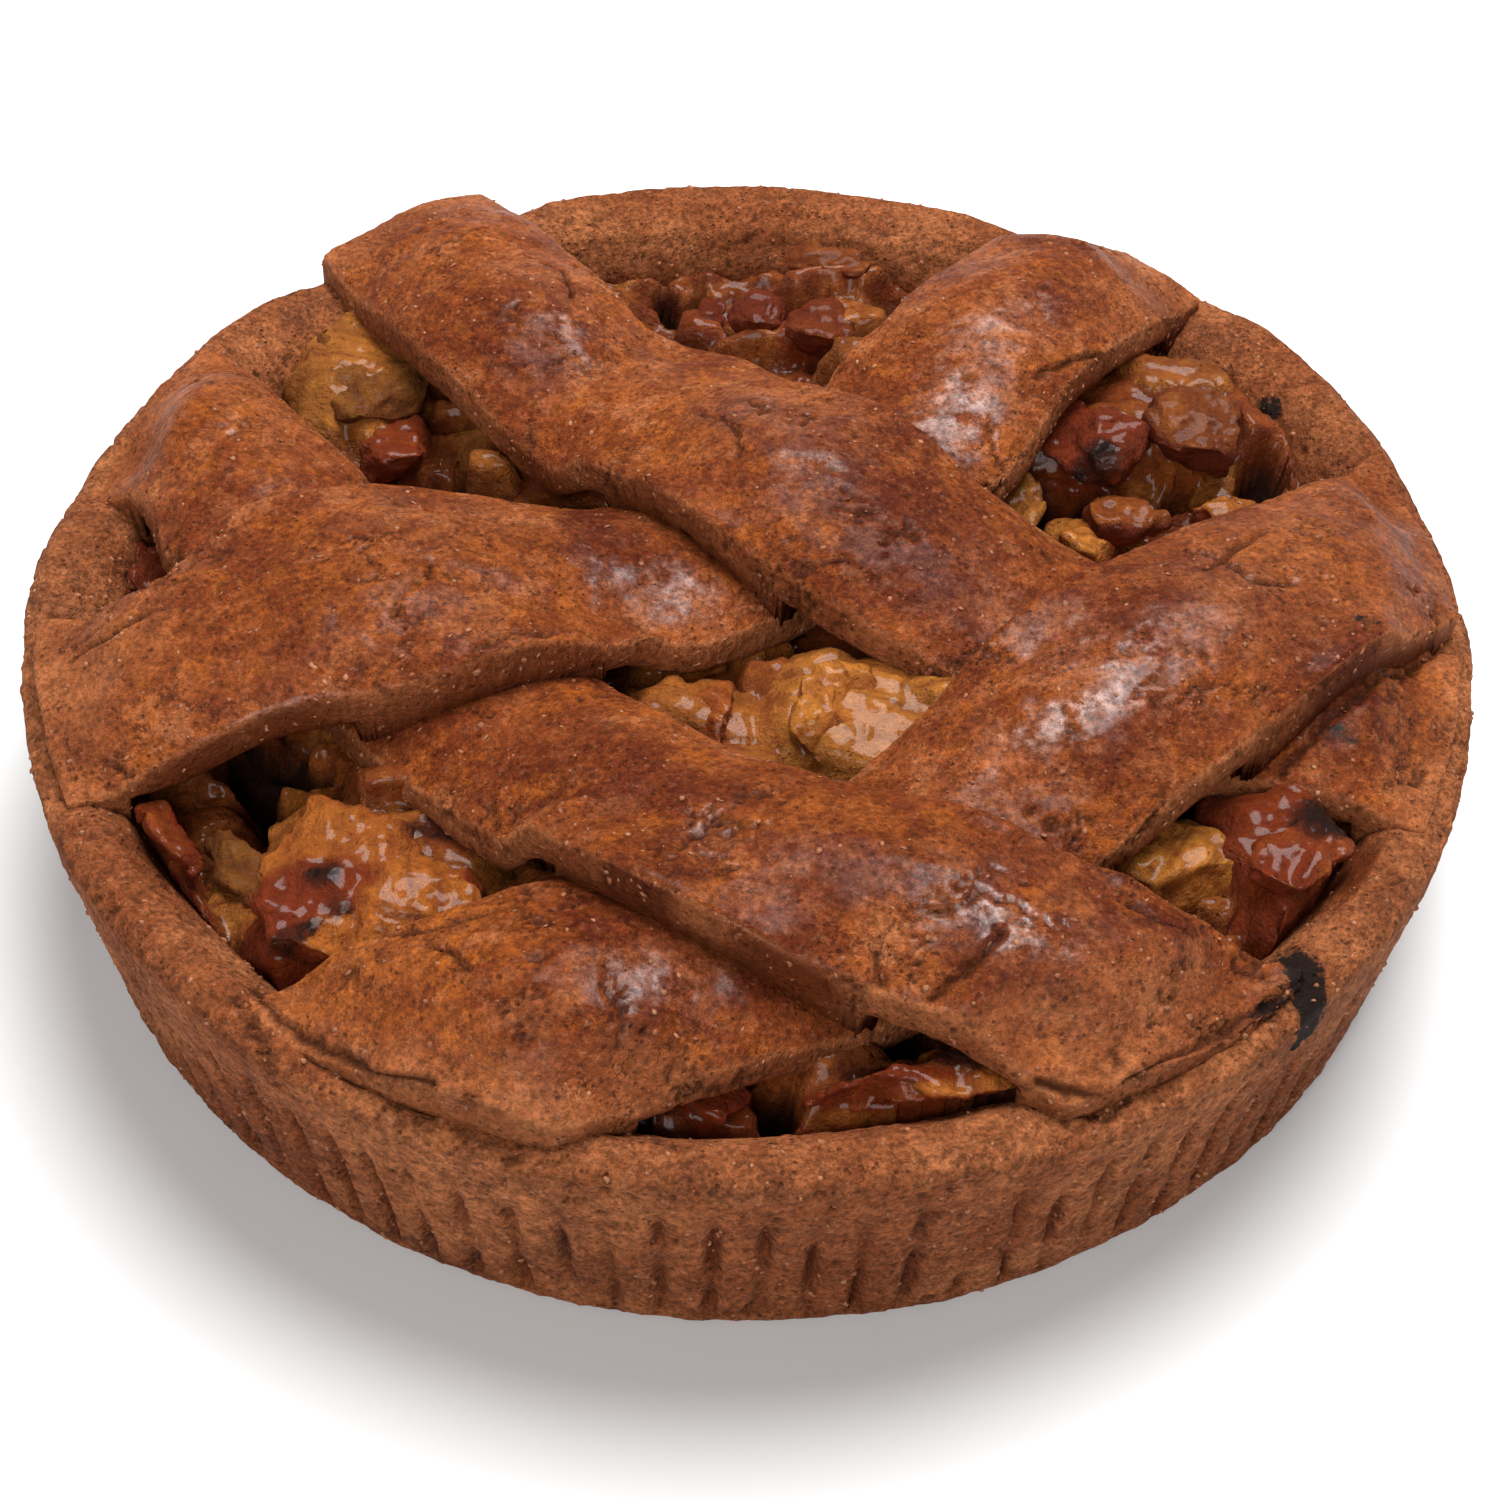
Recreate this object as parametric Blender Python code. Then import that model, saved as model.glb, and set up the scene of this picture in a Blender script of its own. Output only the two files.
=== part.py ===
"""An apple pie with an open lattice top, baked in a fluted tin and turned out of it.

A shortcrust shell holds an apple filling. Four broad strips of dough are woven over it, and
their ends are pressed onto the rim. Lumps of apple show in the openings between the strips.
Lengths are in millimetres until a mesh is made. The origin is the middle of the base, +Z is up,
and -Y is the front.
"""

import math
from dataclasses import dataclass

import bmesh
import bpy
import numpy as np
from mathutils import Vector

MM = 0.001

# Driving dimensions
RIM_RADIUS = 100.2
RIM_HEIGHT = 37.4
BASE_RADIUS = 96.8
FLOOR = 6.0
WALL_TOP = 9.5
STRIP_THICKNESS = 6.0
STRIP_DRAPE = 3.4
STRIP_TRIM = 97.4
RIM_DENT = 2.4
GAP = 0.6
REST_GAP = 1.15

# Where the rim bulges outward: direction in degrees, amount, and spread in degrees
BULGES = ((37, 2.6, 15), (150, 1.6, 22), (95, 1.0, 20), (265, 0.7, 30))

# The tin's flutes
FLUTES = 104
FLUTE_DEPTH = 0.55

# How finely the faceted solids are divided
RIM_SECTORS = 104
FILLING_SECTORS = 60
FILLING_RINGS = 13
LUMP_SECTORS = 10
STATIONS = 37
PATH_SAMPLES = 240
LANES = (-0.96, -0.82, -0.56, -0.28, 0.0, 0.28, 0.56, 0.82, 0.96)

# The crust's section from the tin's side to the floor inside: radius and height
OUTER_SECTION = (
    (BASE_RADIUS + 0.1, 1.8),
    (0.5 * (BASE_RADIUS + RIM_RADIUS), 18.0),
    (RIM_RADIUS - 0.2, 31.5),
)
INNER_SECTION = (
    (RIM_RADIUS - 0.1, RIM_HEIGHT - 2.0),
    (RIM_RADIUS - 2.6, RIM_HEIGHT),
    (RIM_RADIUS - 6.6, RIM_HEIGHT - 0.6),
    (RIM_RADIUS - WALL_TOP, RIM_HEIGHT - 3.4),
    (RIM_RADIUS - WALL_TOP - 2.4, RIM_HEIGHT - 9.0),
    (RIM_RADIUS - WALL_TOP - 5.0, FLOOR + 4.0),
    (RIM_RADIUS - WALL_TOP - 9.0, FLOOR),
)

# The filling's level, and the pits that show as dark holes: x, y, depth, radius
FILLING_LEVEL = 28.6
FILLING_DOME = 2.4
FILLING_GAP = 0.5
PITS = (
    (-47, 24, 9, 7),
    (-82, -8, 8, 7),
    (-58, -40, 10, 8),
    (-12, 68, 8, 9),
    (46, 18, 8, 8),
    (74, 20, 7, 5),
    (0, -14, 6, 6),
    (57, -38, 11, 8),
    (17, -78, 9, 8),
    (1, -88, 6, 4),
)

BROWN_CRUST = (0.34, 0.13, 0.045)
BROWN_GLAZE = (0.30, 0.10, 0.03)
CARAMEL = (0.22, 0.075, 0.02)


@dataclass(frozen=True)
class Strip:
    """A strip of dough. Its route's points are x, y, the height of its underside and half its width."""

    name: str
    route: tuple
    over: str
    seed: float
    trim: tuple = (STRIP_TRIM, STRIP_TRIM)
    end_press: tuple = (0.5, 0.5)
    end_tilt: tuple = (0.0, 0.0)


STRIPS = (
    Strip(
        "strip_north",
        (
            (-62, 86, 36.4, 15.0),
            (-47, 66, 39.4, 16.5),
            (-34, 48, 41.0, 16.5),
            (-20, 33, 36.4, 16.5),
            (-4, 21, 42.0, 18.0),
            (10, 8, 44.4, 18.5),
            (25, -4, 41.5, 17.0),
            (42, -13, 36.4, 16.0),
            (60, -20, 33.4, 16.0),
            (80, -27, 36.4, 16.0),
            (104, -34, 36.4, 17.0),
        ),
        "strip_west",
        3.1,
        (100.8, STRIP_TRIM),
        (0.25, 0.5),
        (2.6, 0.0),
    ),
    Strip(
        "strip_south",
        (
            (-98, 42, 37.0, 17.0),
            (-84, 25, 38.6, 16.0),
            (-68, 7, 37.6, 15.5),
            (-48, -14, 33.4, 15.5),
            (-33, -31, 35.6, 15.5),
            (-19, -45, 39.6, 15.5),
            (-5, -56, 42.6, 15.5),
            (10, -63, 44.0, 15.0),
            (28, -70, 43.4, 14.5),
            (44, -77, 40.2, 15.5),
            (62, -86, 37.0, 17.0),
        ),
        "strip_east",
        7.7,
    ),
    Strip(
        "strip_west",
        (
            (-106, -31, 36.8, 17.0),
            (-84, -29, 38.6, 16.5),
            (-67, -20, 42.6, 18.5),
            (-46, -14, 45.0, 21.0),
            (-26, -8, 40.4, 17.0),
            (-11, -1, 36.0, 16.5),
            (5, 12, 33.4, 16.0),
            (23, 27, 36.4, 16.0),
            (34, 45, 41.4, 16.0),
            (48, 63, 40.6, 16.0),
            (66, 84, 36.8, 16.0),
        ),
        "strip_south",
        12.9,
        (STRIP_TRIM, 99.0),
        (0.5, 0.5),
        (0.0, 2.6),
    ),
    Strip(
        "strip_east",
        (
            (-54, -93, 36.6, 17.5),
            (-36, -84, 39.4, 17.0),
            (-20, -78, 41.6, 16.5),
            (-4, -71, 37.6, 16.0),
            (10, -63, 33.4, 16.0),
            (27, -49, 36.6, 16.5),
            (42, -35, 41.6, 17.0),
            (60, -20, 44.6, 17.5),
            (77, -6, 42.0, 16.5),
            (93, 8, 37.8, 15.5),
            (108, 23, 36.2, 15.5),
        ),
        "strip_north",
        18.3,
    ),
)


@dataclass(frozen=True)
class Lump:
    """A lump of apple: middle, height of its top, half sizes, turn, depth and slope of the top."""

    name: str
    x: float
    y: float
    top: float
    long: float
    broad: float
    turn: float
    depth: float
    slope_x: float = 0.0
    slope_y: float = 0.0


LUMPS = (
    Lump("apple_nw_pale", -60.4, 47.6, 36.8, 13.0, 8.2, -62, 9, 0.10, 0.20),
    Lump("apple_nw_red", -54.0, 30.6, 34.6, 5.0, 4.4, 20, 6),
    Lump("apple_w_brown", -83, 1, 32.0, 5.4, 3.4, -55, 5),
    Lump("apple_sw_large", -44, -56, 38.4, 17.0, 12.2, 18, 10, 0.02, 0.12),
    Lump("apple_sw_green", -63.6, -51.2, 32.0, 8.4, 3.0, -58, 6),
    Lump("apple_sw_skin", -72.6, -48.6, 34.0, 7.6, 2.4, -55, 5),
    Lump("apple_sw_small", -46, -40.2, 37.4, 4.4, 2.4, 10, 5),
    Lump("apple_n_red", 0.5, 69.5, 33.4, 4.2, 4.8, 0, 7),
    Lump("apple_n_lump", 10.5, 66.5, 33.6, 4.4, 6.4, 10, 7),
    Lump("apple_n_brown", -7, 71.5, 31.4, 3.0, 3.4, 10, 4),
    Lump("apple_n_skin", 12, 78, 37.6, 9.4, 3.2, -8, 4, 0.0, 0.12),
    Lump("apple_ne_red", 51.5, 33, 41.0, 6.8, 7.8, 0, 9, 0.0, 0.08),
    Lump("apple_ne_pale", 67.8, 34.5, 40.6, 7.8, 9.0, -6, 9, -0.05, 0.06),
    Lump("apple_ne_yellow", 39.6, 20, 36.4, 7.8, 3.2, 64, 7),
    Lump("apple_ne_slice", 48, 11, 35.6, 4.8, 2.8, 8, 6),
    Lump("apple_ne_low", 55, 19.4, 33.8, 6.4, 3.8, 10, 5),
    Lump("apple_ne_side", 70.5, 20, 33.8, 4.4, 3.6, 0, 5),
    Lump("apple_mid_orange", 17.5, -28.5, 41.0, 14.0, 10.2, -10, 10, 0.02, 0.12),
    Lump("apple_mid_brown", -9, -27.5, 38.4, 9.2, 7.4, -25, 8),
    Lump("apple_mid_green", -8.5, -12.2, 34.4, 7.0, 4.2, 40, 5),
    Lump("apple_mid_back", 4.0, -12, 35.2, 4.0, 3.6, 20, 5),
    Lump("apple_se_pale", 53, -49.5, 36.0, 9.2, 7.0, -10, 7),
    Lump("apple_se_burnt", 69.4, -50, 39.8, 11.0, 5.6, 54, 4, 0.10, -0.07),
    Lump("apple_s_ridge", 21, -84.4, 39.2, 13.4, 4.2, 2, 8, 0.0, 0.06),
    Lump("apple_s_char", -14.5, -86.2, 37.0, 5.4, 3.4, 8, 6),
    Lump("apple_s_red", -3.6, -85.4, 36.6, 4.2, 3.4, 0, 6),
    Lump("apple_s_green", 29, -75.6, 33.4, 7.4, 3.0, -20, 4),
)


def clear_scene():
    for obj in list(bpy.data.objects):
        bpy.data.objects.remove(obj)


def dough_material(name, colour, roughness):
    material = bpy.data.materials.new(name)
    material.use_nodes = True
    shader = material.node_tree.nodes["Principled BSDF"]
    shader.inputs["Base Color"].default_value = (*colour, 1)
    shader.inputs["Roughness"].default_value = roughness
    shader.inputs["Metallic"].default_value = 0
    return material


def wobble(x, y, size, seed):
    """A smooth uneven value from -1 to 1, with bumps of about this size."""
    value = 0.0
    for k, stretch in enumerate((1.0, 0.83, 1.31, 1.57)):
        turn = 2.4 * k + seed
        wave = (x * math.cos(turn) + y * math.sin(turn)) * math.pi * stretch / size
        value = value + np.sin(wave + 1.9 * seed + k) / 3.1
    return np.clip(value, -1, 1)


def add_solid(name, points, faces, material):
    """One closed mesh object from points in millimetres."""
    mesh = bpy.data.meshes.new(name)
    mesh.from_pydata([Vector(p) * MM for p in points], [], faces)
    shape = bmesh.new()
    shape.from_mesh(mesh)
    bmesh.ops.recalc_face_normals(shape, faces=shape.faces)
    shape.to_mesh(mesh)
    shape.free()
    mesh.materials.append(material)
    mesh.shade_smooth()
    obj = bpy.data.objects.new(name, mesh)
    bpy.context.collection.objects.link(obj)
    return obj


# The crust shell


def strip_ends():
    """The angle at which each strip's end meets the rim, and half the angle that it covers."""
    spans = []
    for strip in STRIPS:
        for x, y, _, half in (strip.route[1], strip.route[-2]):
            spans.append((math.atan2(y, x), math.asin(half / math.hypot(x, y))))
    return spans


def dent(angle):
    """How far the rim is pressed down by the strips' ends, from 0 to 1."""
    pressed = 0.0
    for middle, half in strip_ends():
        away = np.abs((angle - middle + math.pi) % math.tau - math.pi)
        pressed = np.maximum(pressed, np.clip((half + 0.05 - away) / 0.09, 0, 1))
    return pressed


def rim_shift(angle, reach):
    """How far the rim strays from a true circle: outward, upward and at its inner edge."""
    x, y = np.cos(angle) * 100, np.sin(angle) * 100
    outward = 0.3 * wobble(x, y, 30, 1.7)
    for middle, amount, spread in BULGES:
        away = (angle - math.radians(middle) + math.pi) % math.tau - math.pi
        outward = outward + amount * np.exp(-((away / math.radians(spread)) ** 2))
    upward = 0.6 * wobble(x, y, 42, 5.3)
    inner = 1.0 * wobble(x, y, 24, 9.1) - 1.8 * np.sin(angle) - 0.4
    share = np.clip(reach, 0, 1)
    return outward, upward, inner * share


def section_point(radius, height, angle):
    """A point of the crust's section, swept to an angle, with the rim's unevenness."""
    climb = min(1.0, height / RIM_HEIGHT) ** 3
    reach = (RIM_RADIUS - 2.6 - radius) / WALL_TOP
    outward, upward, inner = rim_shift(angle, reach if height > FLOOR + 4.5 else 0.0)
    radius = radius + outward * climb + inner * climb
    height = height + upward * climb - RIM_DENT * dent(angle) * climb**3
    return radius * np.cos(angle), radius * np.sin(angle), height


def flute_depth(angle, height):
    """The tin's flutes, deepest in the middle of the wall."""
    share = math.sin(math.pi * min(1.0, max(0.0, height / (RIM_HEIGHT + 6))))
    return FLUTE_DEPTH * share * np.cos(FLUTES * angle)


def crust_rows():
    """The rows of points from the base's edge, up the wall, over the rim and down to the floor."""
    fine = np.arange(2 * RIM_SECTORS) * (math.tau / (2 * RIM_SECTORS))
    plain = np.arange(RIM_SECTORS) * (math.tau / RIM_SECTORS)
    rows = [np.stack(section_point(BASE_RADIUS - 0.9, 0.0, plain), axis=1)]
    for radius, height in OUTER_SECTION:
        angle = fine
        bent = radius + flute_depth(angle, height)
        rows.append(np.stack(np.broadcast_arrays(*section_point(bent, height, angle)), axis=1))
    for radius, height in INNER_SECTION:
        rows.append(np.stack(section_point(radius, height, plain), axis=1))
    rows[0][:, 2] = 0.0
    rows[-1][:, 2] = FLOOR
    return rows


def stitch(faces, lower, lower_count, upper, upper_count):
    """Faces between two rings of points, which may differ by a factor of two in their counts."""
    if lower_count == upper_count:
        for i in range(lower_count):
            j = (i + 1) % lower_count
            faces.append((lower + i, lower + j, upper + j, upper + i))
        return
    fine, coarse, count = (
        (lower, upper, upper_count) if lower_count > upper_count else (upper, lower, lower_count)
    )
    for i in range(count):
        j = (i + 1) % count
        a, b, c = fine + 2 * i, fine + 2 * i + 1, fine + (2 * i + 2) % (2 * count)
        faces.append((a, b, coarse + i))
        faces.append((b, coarse + j, coarse + i))
        faces.append((b, c, coarse + j))


def make_crust(material):
    rows = crust_rows()
    points, faces, starts = [], [], []
    for row in rows:
        starts.append(len(points))
        points.extend(map(tuple, row))
    for k in range(len(rows) - 1):
        stitch(faces, starts[k], len(rows[k]), starts[k + 1], len(rows[k + 1]))
    for start, row, height in ((0, rows[0], 0.0), (starts[-1], rows[-1], FLOOR)):
        middle = len(points)
        points.append((0.0, 0.0, height))
        count = len(row)
        faces.extend((start + i, start + (i + 1) % count, middle) for i in range(count))
    return add_solid("crust", points, faces, material)


def rim_height(x, y):
    """The crust's upper surface at a place, or the floor's height well inside it."""
    angle = np.arctan2(y, x)
    distance = np.hypot(x, y)
    heights = [section_point(radius, height, angle) for radius, height in INNER_SECTION]
    found = np.full(np.shape(x), FLOOR)
    for outer, inner in zip(heights[:-1], heights[1:]):
        far, near = np.hypot(*outer[:2]), np.hypot(*inner[:2])
        share = np.clip((distance - near) / np.maximum(far - near, 0.01), 0, 1)
        level = inner[2] + (outer[2] - inner[2]) * share
        found = np.where(distance >= near, np.maximum(found, level), found)
    return found


# The lattice strips


def smooth_route(points, count):
    """Evenly numbered points on a Catmull-Rom curve through the given ones."""
    knots = np.array(points, float)
    knots = np.vstack([2 * knots[0] - knots[1], knots, 2 * knots[-1] - knots[-2]])
    place = np.linspace(0, len(points) - 1 - 1e-9, count)
    start = place.astype(int)
    u = (place - start)[:, None]
    a, b, c, d = (knots[start + k] for k in range(4))
    return 0.5 * (
        2 * b + (c - a) * u + (2 * a - 5 * b + 4 * c - d) * u**2 + (3 * b - a - 3 * c + d) * u**3
    )


class LaidStrip:
    """A strip's route as samples, with the questions that its neighbours ask of it."""

    def __init__(self, strip):
        self.strip = strip
        self.route = smooth_route(strip.route, PATH_SAMPLES)
        along = np.gradient(self.route[:, :2], axis=0)
        along /= np.linalg.norm(along, axis=1)[:, None]
        self.across = np.stack([-along[:, 1], along[:, 0]], axis=1)
        steps = np.linalg.norm(np.diff(self.route[:, :2], axis=0), axis=1)
        self.length = np.concatenate([[0], np.cumsum(steps)])
        uneven = wobble(self.length, 0 * self.length, 38, strip.seed)
        self.half = self.route[:, 3] * (1 + 0.03 * uneven)
        first, last = strip.end_tilt
        from_end = self.length[-1] - self.length
        self.tilt = first * np.exp(-((self.length / 26) ** 2)) + last * np.exp(-((from_end / 26) ** 2))

    def locate(self, x, y):
        """The nearest sample to each place, and how far across the strip the place is (-1 to 1)."""
        flat = np.stack([np.ravel(x), np.ravel(y)], axis=1)
        away = flat[:, None, :] - self.route[None, :, :2]
        nearest = np.argmin((away**2).sum(axis=2), axis=1)
        offset = away[np.arange(len(flat)), nearest]
        signed = (offset * self.across[nearest]).sum(axis=1) / self.half[nearest]
        return nearest.reshape(np.shape(x)), signed.reshape(np.shape(x))

    def skin(self, t):
        """Thickness across the strip: fullest in the middle and thinner at the edges."""
        return STRIP_THICKNESS * (1 - 0.16 * np.abs(t) ** 3) + 0.9 * (1 - np.clip(t, -1, 1) ** 2)

    def plain_top(self, x, y, margin):
        """The top where this strip runs below another, held level a margin past its edges."""
        nearest, t = self.locate(x, y)
        aside = np.abs(t) * self.half[nearest]
        t = np.clip(t, -1, 1)
        top = self.route[nearest, 2] - STRIP_DRAPE * t**2 + self.skin(t)
        return np.where(aside <= self.half[nearest] + margin, top, -1e3)

    def underside(self, x, y, laid):
        """The height of the underside at a place, once it rests on the rim and its neighbour."""
        nearest, t = self.locate(x, y)
        level = self.route[nearest, 2] - STRIP_DRAPE * np.clip(np.abs(t), 0, 1.1) ** 2
        level = level + self.tilt[nearest] * np.clip(t, -1.1, 1.1)
        below = laid[self.strip.over].plain_top(x, y, margin=6.0)
        edge = np.hypot(x, y) > RIM_RADIUS - WALL_TOP - 3
        rim = np.where(edge, rim_height(x, y), -1e3)
        return np.maximum(level, np.maximum(below, rim) + REST_GAP)


def lane_samples(laid_strip, t):
    """Where a lane of the strip runs between its two trimmed ends, as fractional sample numbers."""
    plan = laid_strip.route[:, :2] + laid_strip.across * (t * laid_strip.half)[:, None]
    reach = np.hypot(*plan.T)
    middle = int(np.argmin(reach))
    first, last = laid_strip.strip.trim
    start = np.interp(first, reach[: middle + 1][::-1], np.arange(middle + 1)[::-1])
    end = np.interp(last, reach[middle:], np.arange(middle, PATH_SAMPLES))
    share = np.linspace(0, 1, STATIONS)
    share = share + 0.028 * np.sin(math.tau * share) * -1
    return start + (end - start) * share


def lane_points(laid_strip, t, lift, laid, inset=1.0):
    """The points of one lane. lift is its height above the underside, as a share of the skin."""
    at = lane_samples(laid_strip, t)
    samples = np.arange(PATH_SAMPLES)
    route = np.stack([np.interp(at, samples, laid_strip.route[:, k]) for k in range(3)], axis=1)
    across = np.stack([np.interp(at, samples, laid_strip.across[:, k]) for k in range(2)], axis=1)
    half = np.interp(at, samples, laid_strip.half)
    length = np.interp(at, samples, laid_strip.length)
    x = route[:, 0] + across[:, 0] * half * t * inset
    y = route[:, 1] + across[:, 1] * half * t * inset
    under = laid_strip.underside(x, y, laid)
    to_end = np.minimum(length - length[0], length[-1] - length)
    near_start = length - length[0] < length[-1] - length
    press = np.where(near_start, *laid_strip.strip.end_press)
    pressed = 1 - press * np.exp(-((to_end / 9.0) ** 2))
    lumpy = 1 + 0.10 * wobble(x, y, 17, laid_strip.strip.seed + 4)
    return np.stack([x, y, under + lift * laid_strip.skin(t) * pressed * lumpy], axis=1)


def make_strip(laid_strip, laid, material):
    """A closed band of quads: top lanes, one side, bottom lanes and the other side."""
    lanes = [lane_points(laid_strip, t, 1.0, laid) for t in LANES]
    lanes.append(lane_points(laid_strip, 1.0, 0.45, laid))
    lanes += [lane_points(laid_strip, t, 0.0, laid, inset=0.98) for t in reversed(LANES)]
    lanes.append(lane_points(laid_strip, -1.0, 0.45, laid))
    rounds = len(lanes)
    points = [tuple(lane[k]) for k in range(STATIONS) for lane in lanes]
    faces = []
    for k in range(STATIONS - 1):
        for i in range(rounds):
            j = (i + 1) % rounds
            row, following = k * rounds, (k + 1) * rounds
            faces.append((row + i, row + j, following + j, following + i))
    across = len(LANES)
    for row in (0, (STATIONS - 1) * rounds):
        for i in range(across - 1):
            top, bottom = row + i, row + 2 * across - i
            faces.append((top, top + 1, bottom - 1, bottom))
        faces.append((row + across - 1, row + across, row + across + 1))
        faces.append((row + 2 * across, row + 2 * across + 1, row))
    return add_solid(laid_strip.strip.name, points, faces, material)


class HeightMap:
    """Heights sampled once over the whole pie, then looked up at any place."""

    EDGE = 114.0
    STEP = 1.5

    def __init__(self, heights):
        self.heights = heights

    @classmethod
    def sample(cls, height_at):
        line = np.arange(-cls.EDGE, cls.EDGE + cls.STEP, cls.STEP)
        x, y = np.meshgrid(line, line, indexing="ij")
        return cls(height_at(x, y))

    def spread(self, steps, pick):
        """Each place takes the highest or the lowest value found within a few steps of it."""
        found = self.heights
        for axis in (0, 1):
            turns = [np.roll(found, k, axis=axis) for k in range(-steps, steps + 1)]
            found = pick.reduce(turns)
        return HeightMap(found)

    def at(self, x, y):
        last = len(self.heights) - 1.001
        place_x = np.clip((np.asarray(x) + self.EDGE) / self.STEP, 0, last)
        place_y = np.clip((np.asarray(y) + self.EDGE) / self.STEP, 0, last)
        i, j = np.floor(place_x).astype(int), np.floor(place_y).astype(int)
        u, v = place_x - i, place_y - j
        near = self.heights[i, j] * (1 - u) + self.heights[i + 1, j] * u
        far = self.heights[i, j + 1] * (1 - u) + self.heights[i + 1, j + 1] * u
        return near * (1 - v) + far * v


def lowest_underside(x, y, laid):
    """The lowest underside of any strip over a place."""
    found = np.full(np.shape(x), 1e3)
    for laid_strip in laid.values():
        nearest, t = laid_strip.locate(x, y)
        under = laid_strip.underside(x, y, laid)
        covered = np.abs(t) * laid_strip.half[nearest] < laid_strip.half[nearest] + 1.5
        found = np.where(covered, np.minimum(found, under), found)
    return found


# The filling and the lumps in it


def lump_share(lump, x, y):
    """How far out a place is in a lump's outline: 0 at its middle, 1 at its edge."""
    turn = math.radians(lump.turn)
    along = (x - lump.x) * math.cos(turn) + (y - lump.y) * math.sin(turn)
    aside = -(x - lump.x) * math.sin(turn) + (y - lump.y) * math.cos(turn)
    return np.hypot(along / lump.long, aside / lump.broad)


def filling_height(x, y, laid, roof):
    """The filling's top: a low dome with bumps and pits, which rises to bear the strips."""
    distance = np.hypot(x, y)
    level = FILLING_LEVEL + FILLING_DOME * (1 - (distance / 88) ** 2)
    level = level + 1.0 * wobble(x, y, 22, 2.2)
    lumps_near = np.full(np.shape(x), 9.0)
    for lump in LUMPS:
        share = lump_share(lump, x, y)
        lumps_near = np.minimum(lumps_near, share)
        pocket = np.minimum(lump.top - lump.depth, roof - 4.5) - 0.8
        reach = 1 + 6.0 / min(lump.long, lump.broad)
        level = np.where(share < reach, np.minimum(level, pocket), level)
    middle = np.full(np.shape(x), 9.0)
    for laid_strip in laid.values():
        middle = np.minimum(middle, np.abs(laid_strip.locate(x, y)[1]))
    bearing = np.clip(1.4 - middle * 1.8, 0, 1) * np.clip((lumps_near - 2.0) / 0.8, 0, 1)
    level = level + (np.minimum(roof, 60) - 1.4 - level) * bearing
    for px, py, depth, radius in PITS:
        level = level - depth * np.exp(-(((x - px) ** 2 + (y - py) ** 2) / radius**2))
    return np.minimum(level, roof - 1.4)


def make_filling(top, material):
    angle = np.arange(FILLING_SECTORS) * (math.tau / FILLING_SECTORS)
    wall = INNER_SECTION[-3]
    edge_x, edge_y, _ = section_point(wall[0], wall[1], angle)
    edge = np.hypot(edge_x, edge_y) - 2.2
    points, faces, starts = [(0.0, 0.0, float(top.at(0.0, 0.0)))], [], []
    for ring in range(1, FILLING_RINGS + 1):
        radius = edge * (ring / FILLING_RINGS) ** 0.92
        x, y = radius * np.cos(angle), radius * np.sin(angle)
        starts.append(len(points))
        points.extend(zip(x, y, top.at(x, y)))
    foot = RIM_RADIUS - WALL_TOP - 9.6
    for radius, height in ((INNER_SECTION[-2][0] - 1.2, FLOOR + 5.0), (foot, FLOOR + 0.4)):
        starts.append(len(points))
        points.extend((radius * math.cos(a), radius * math.sin(a), height) for a in angle)
    for lower, upper in zip(starts[:-1], starts[1:]):
        stitch(faces, lower, FILLING_SECTORS, upper, FILLING_SECTORS)
    base = len(points)
    points.append((0.0, 0.0, FLOOR + 0.4))
    for i in range(FILLING_SECTORS):
        j = (i + 1) % FILLING_SECTORS
        faces.append((0, starts[0] + i, starts[0] + j))
        faces.append((base, starts[-1] + i, starts[-1] + j))
    return add_solid("filling", points, faces, material)


def make_lump(lump, bed, roof, material):
    """A rounded lump: rings of points over its top, round its edge and under it."""
    seed = lump.x * 0.13 + lump.y * 0.07
    spin = np.arange(LUMP_SECTORS) * (math.tau / LUMP_SECTORS)
    turn = math.radians(lump.turn)
    outline = 1 + 0.16 * wobble(np.cos(spin), np.sin(spin), 0.8, seed)
    rings = ((0.42, 1), (0.74, 1), (0.94, 1), (1.0, 0), (0.9, -1), (0.6, -1))
    middle_height = lump.top - 0.45 * lump.depth
    points, faces, starts = [], [], []

    def place(share, side):
        along = lump.long * share * outline * np.cos(spin)
        aside = lump.broad * share * outline * np.sin(spin)
        x = lump.x + along * math.cos(turn) - aside * math.sin(turn)
        y = lump.y + along * math.sin(turn) + aside * math.cos(turn)
        bulge = (1 - share**3.4) ** (1 / 2.6)
        height = middle_height + side * bulge * lump.depth * (0.45 if side > 0 else 0.55)
        height = height + lump.slope_x * (x - lump.x) + lump.slope_y * (y - lump.y)
        height = height + 0.5 * wobble(x, y, 6, seed) * max(side, 0)
        low = bed.at(x, y) + FILLING_GAP
        high = roof.at(x, y) - GAP
        step = {1: 1.8, 0: 0.9, -1: 0.0}[side]
        height = np.maximum(height, low + step)
        return x, y, np.minimum(height, high - (1.8 - step))

    for share, side in rings:
        starts.append(len(points))
        points.extend(zip(*place(share, side)))
    for lower, upper in zip(starts[:-1], starts[1:]):
        stitch(faces, lower, LUMP_SECTORS, upper, LUMP_SECTORS)
    for start, side in ((starts[0], 1), (starts[-1], -1)):
        x, y, height = place(0.0, side)
        middle = len(points)
        points.append((float(x[0]), float(y[0]), float(height[0])))
        for i in range(LUMP_SECTORS):
            faces.append((start + i, start + (i + 1) % LUMP_SECTORS, middle))
    return add_solid(lump.name, points, faces, material)


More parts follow.
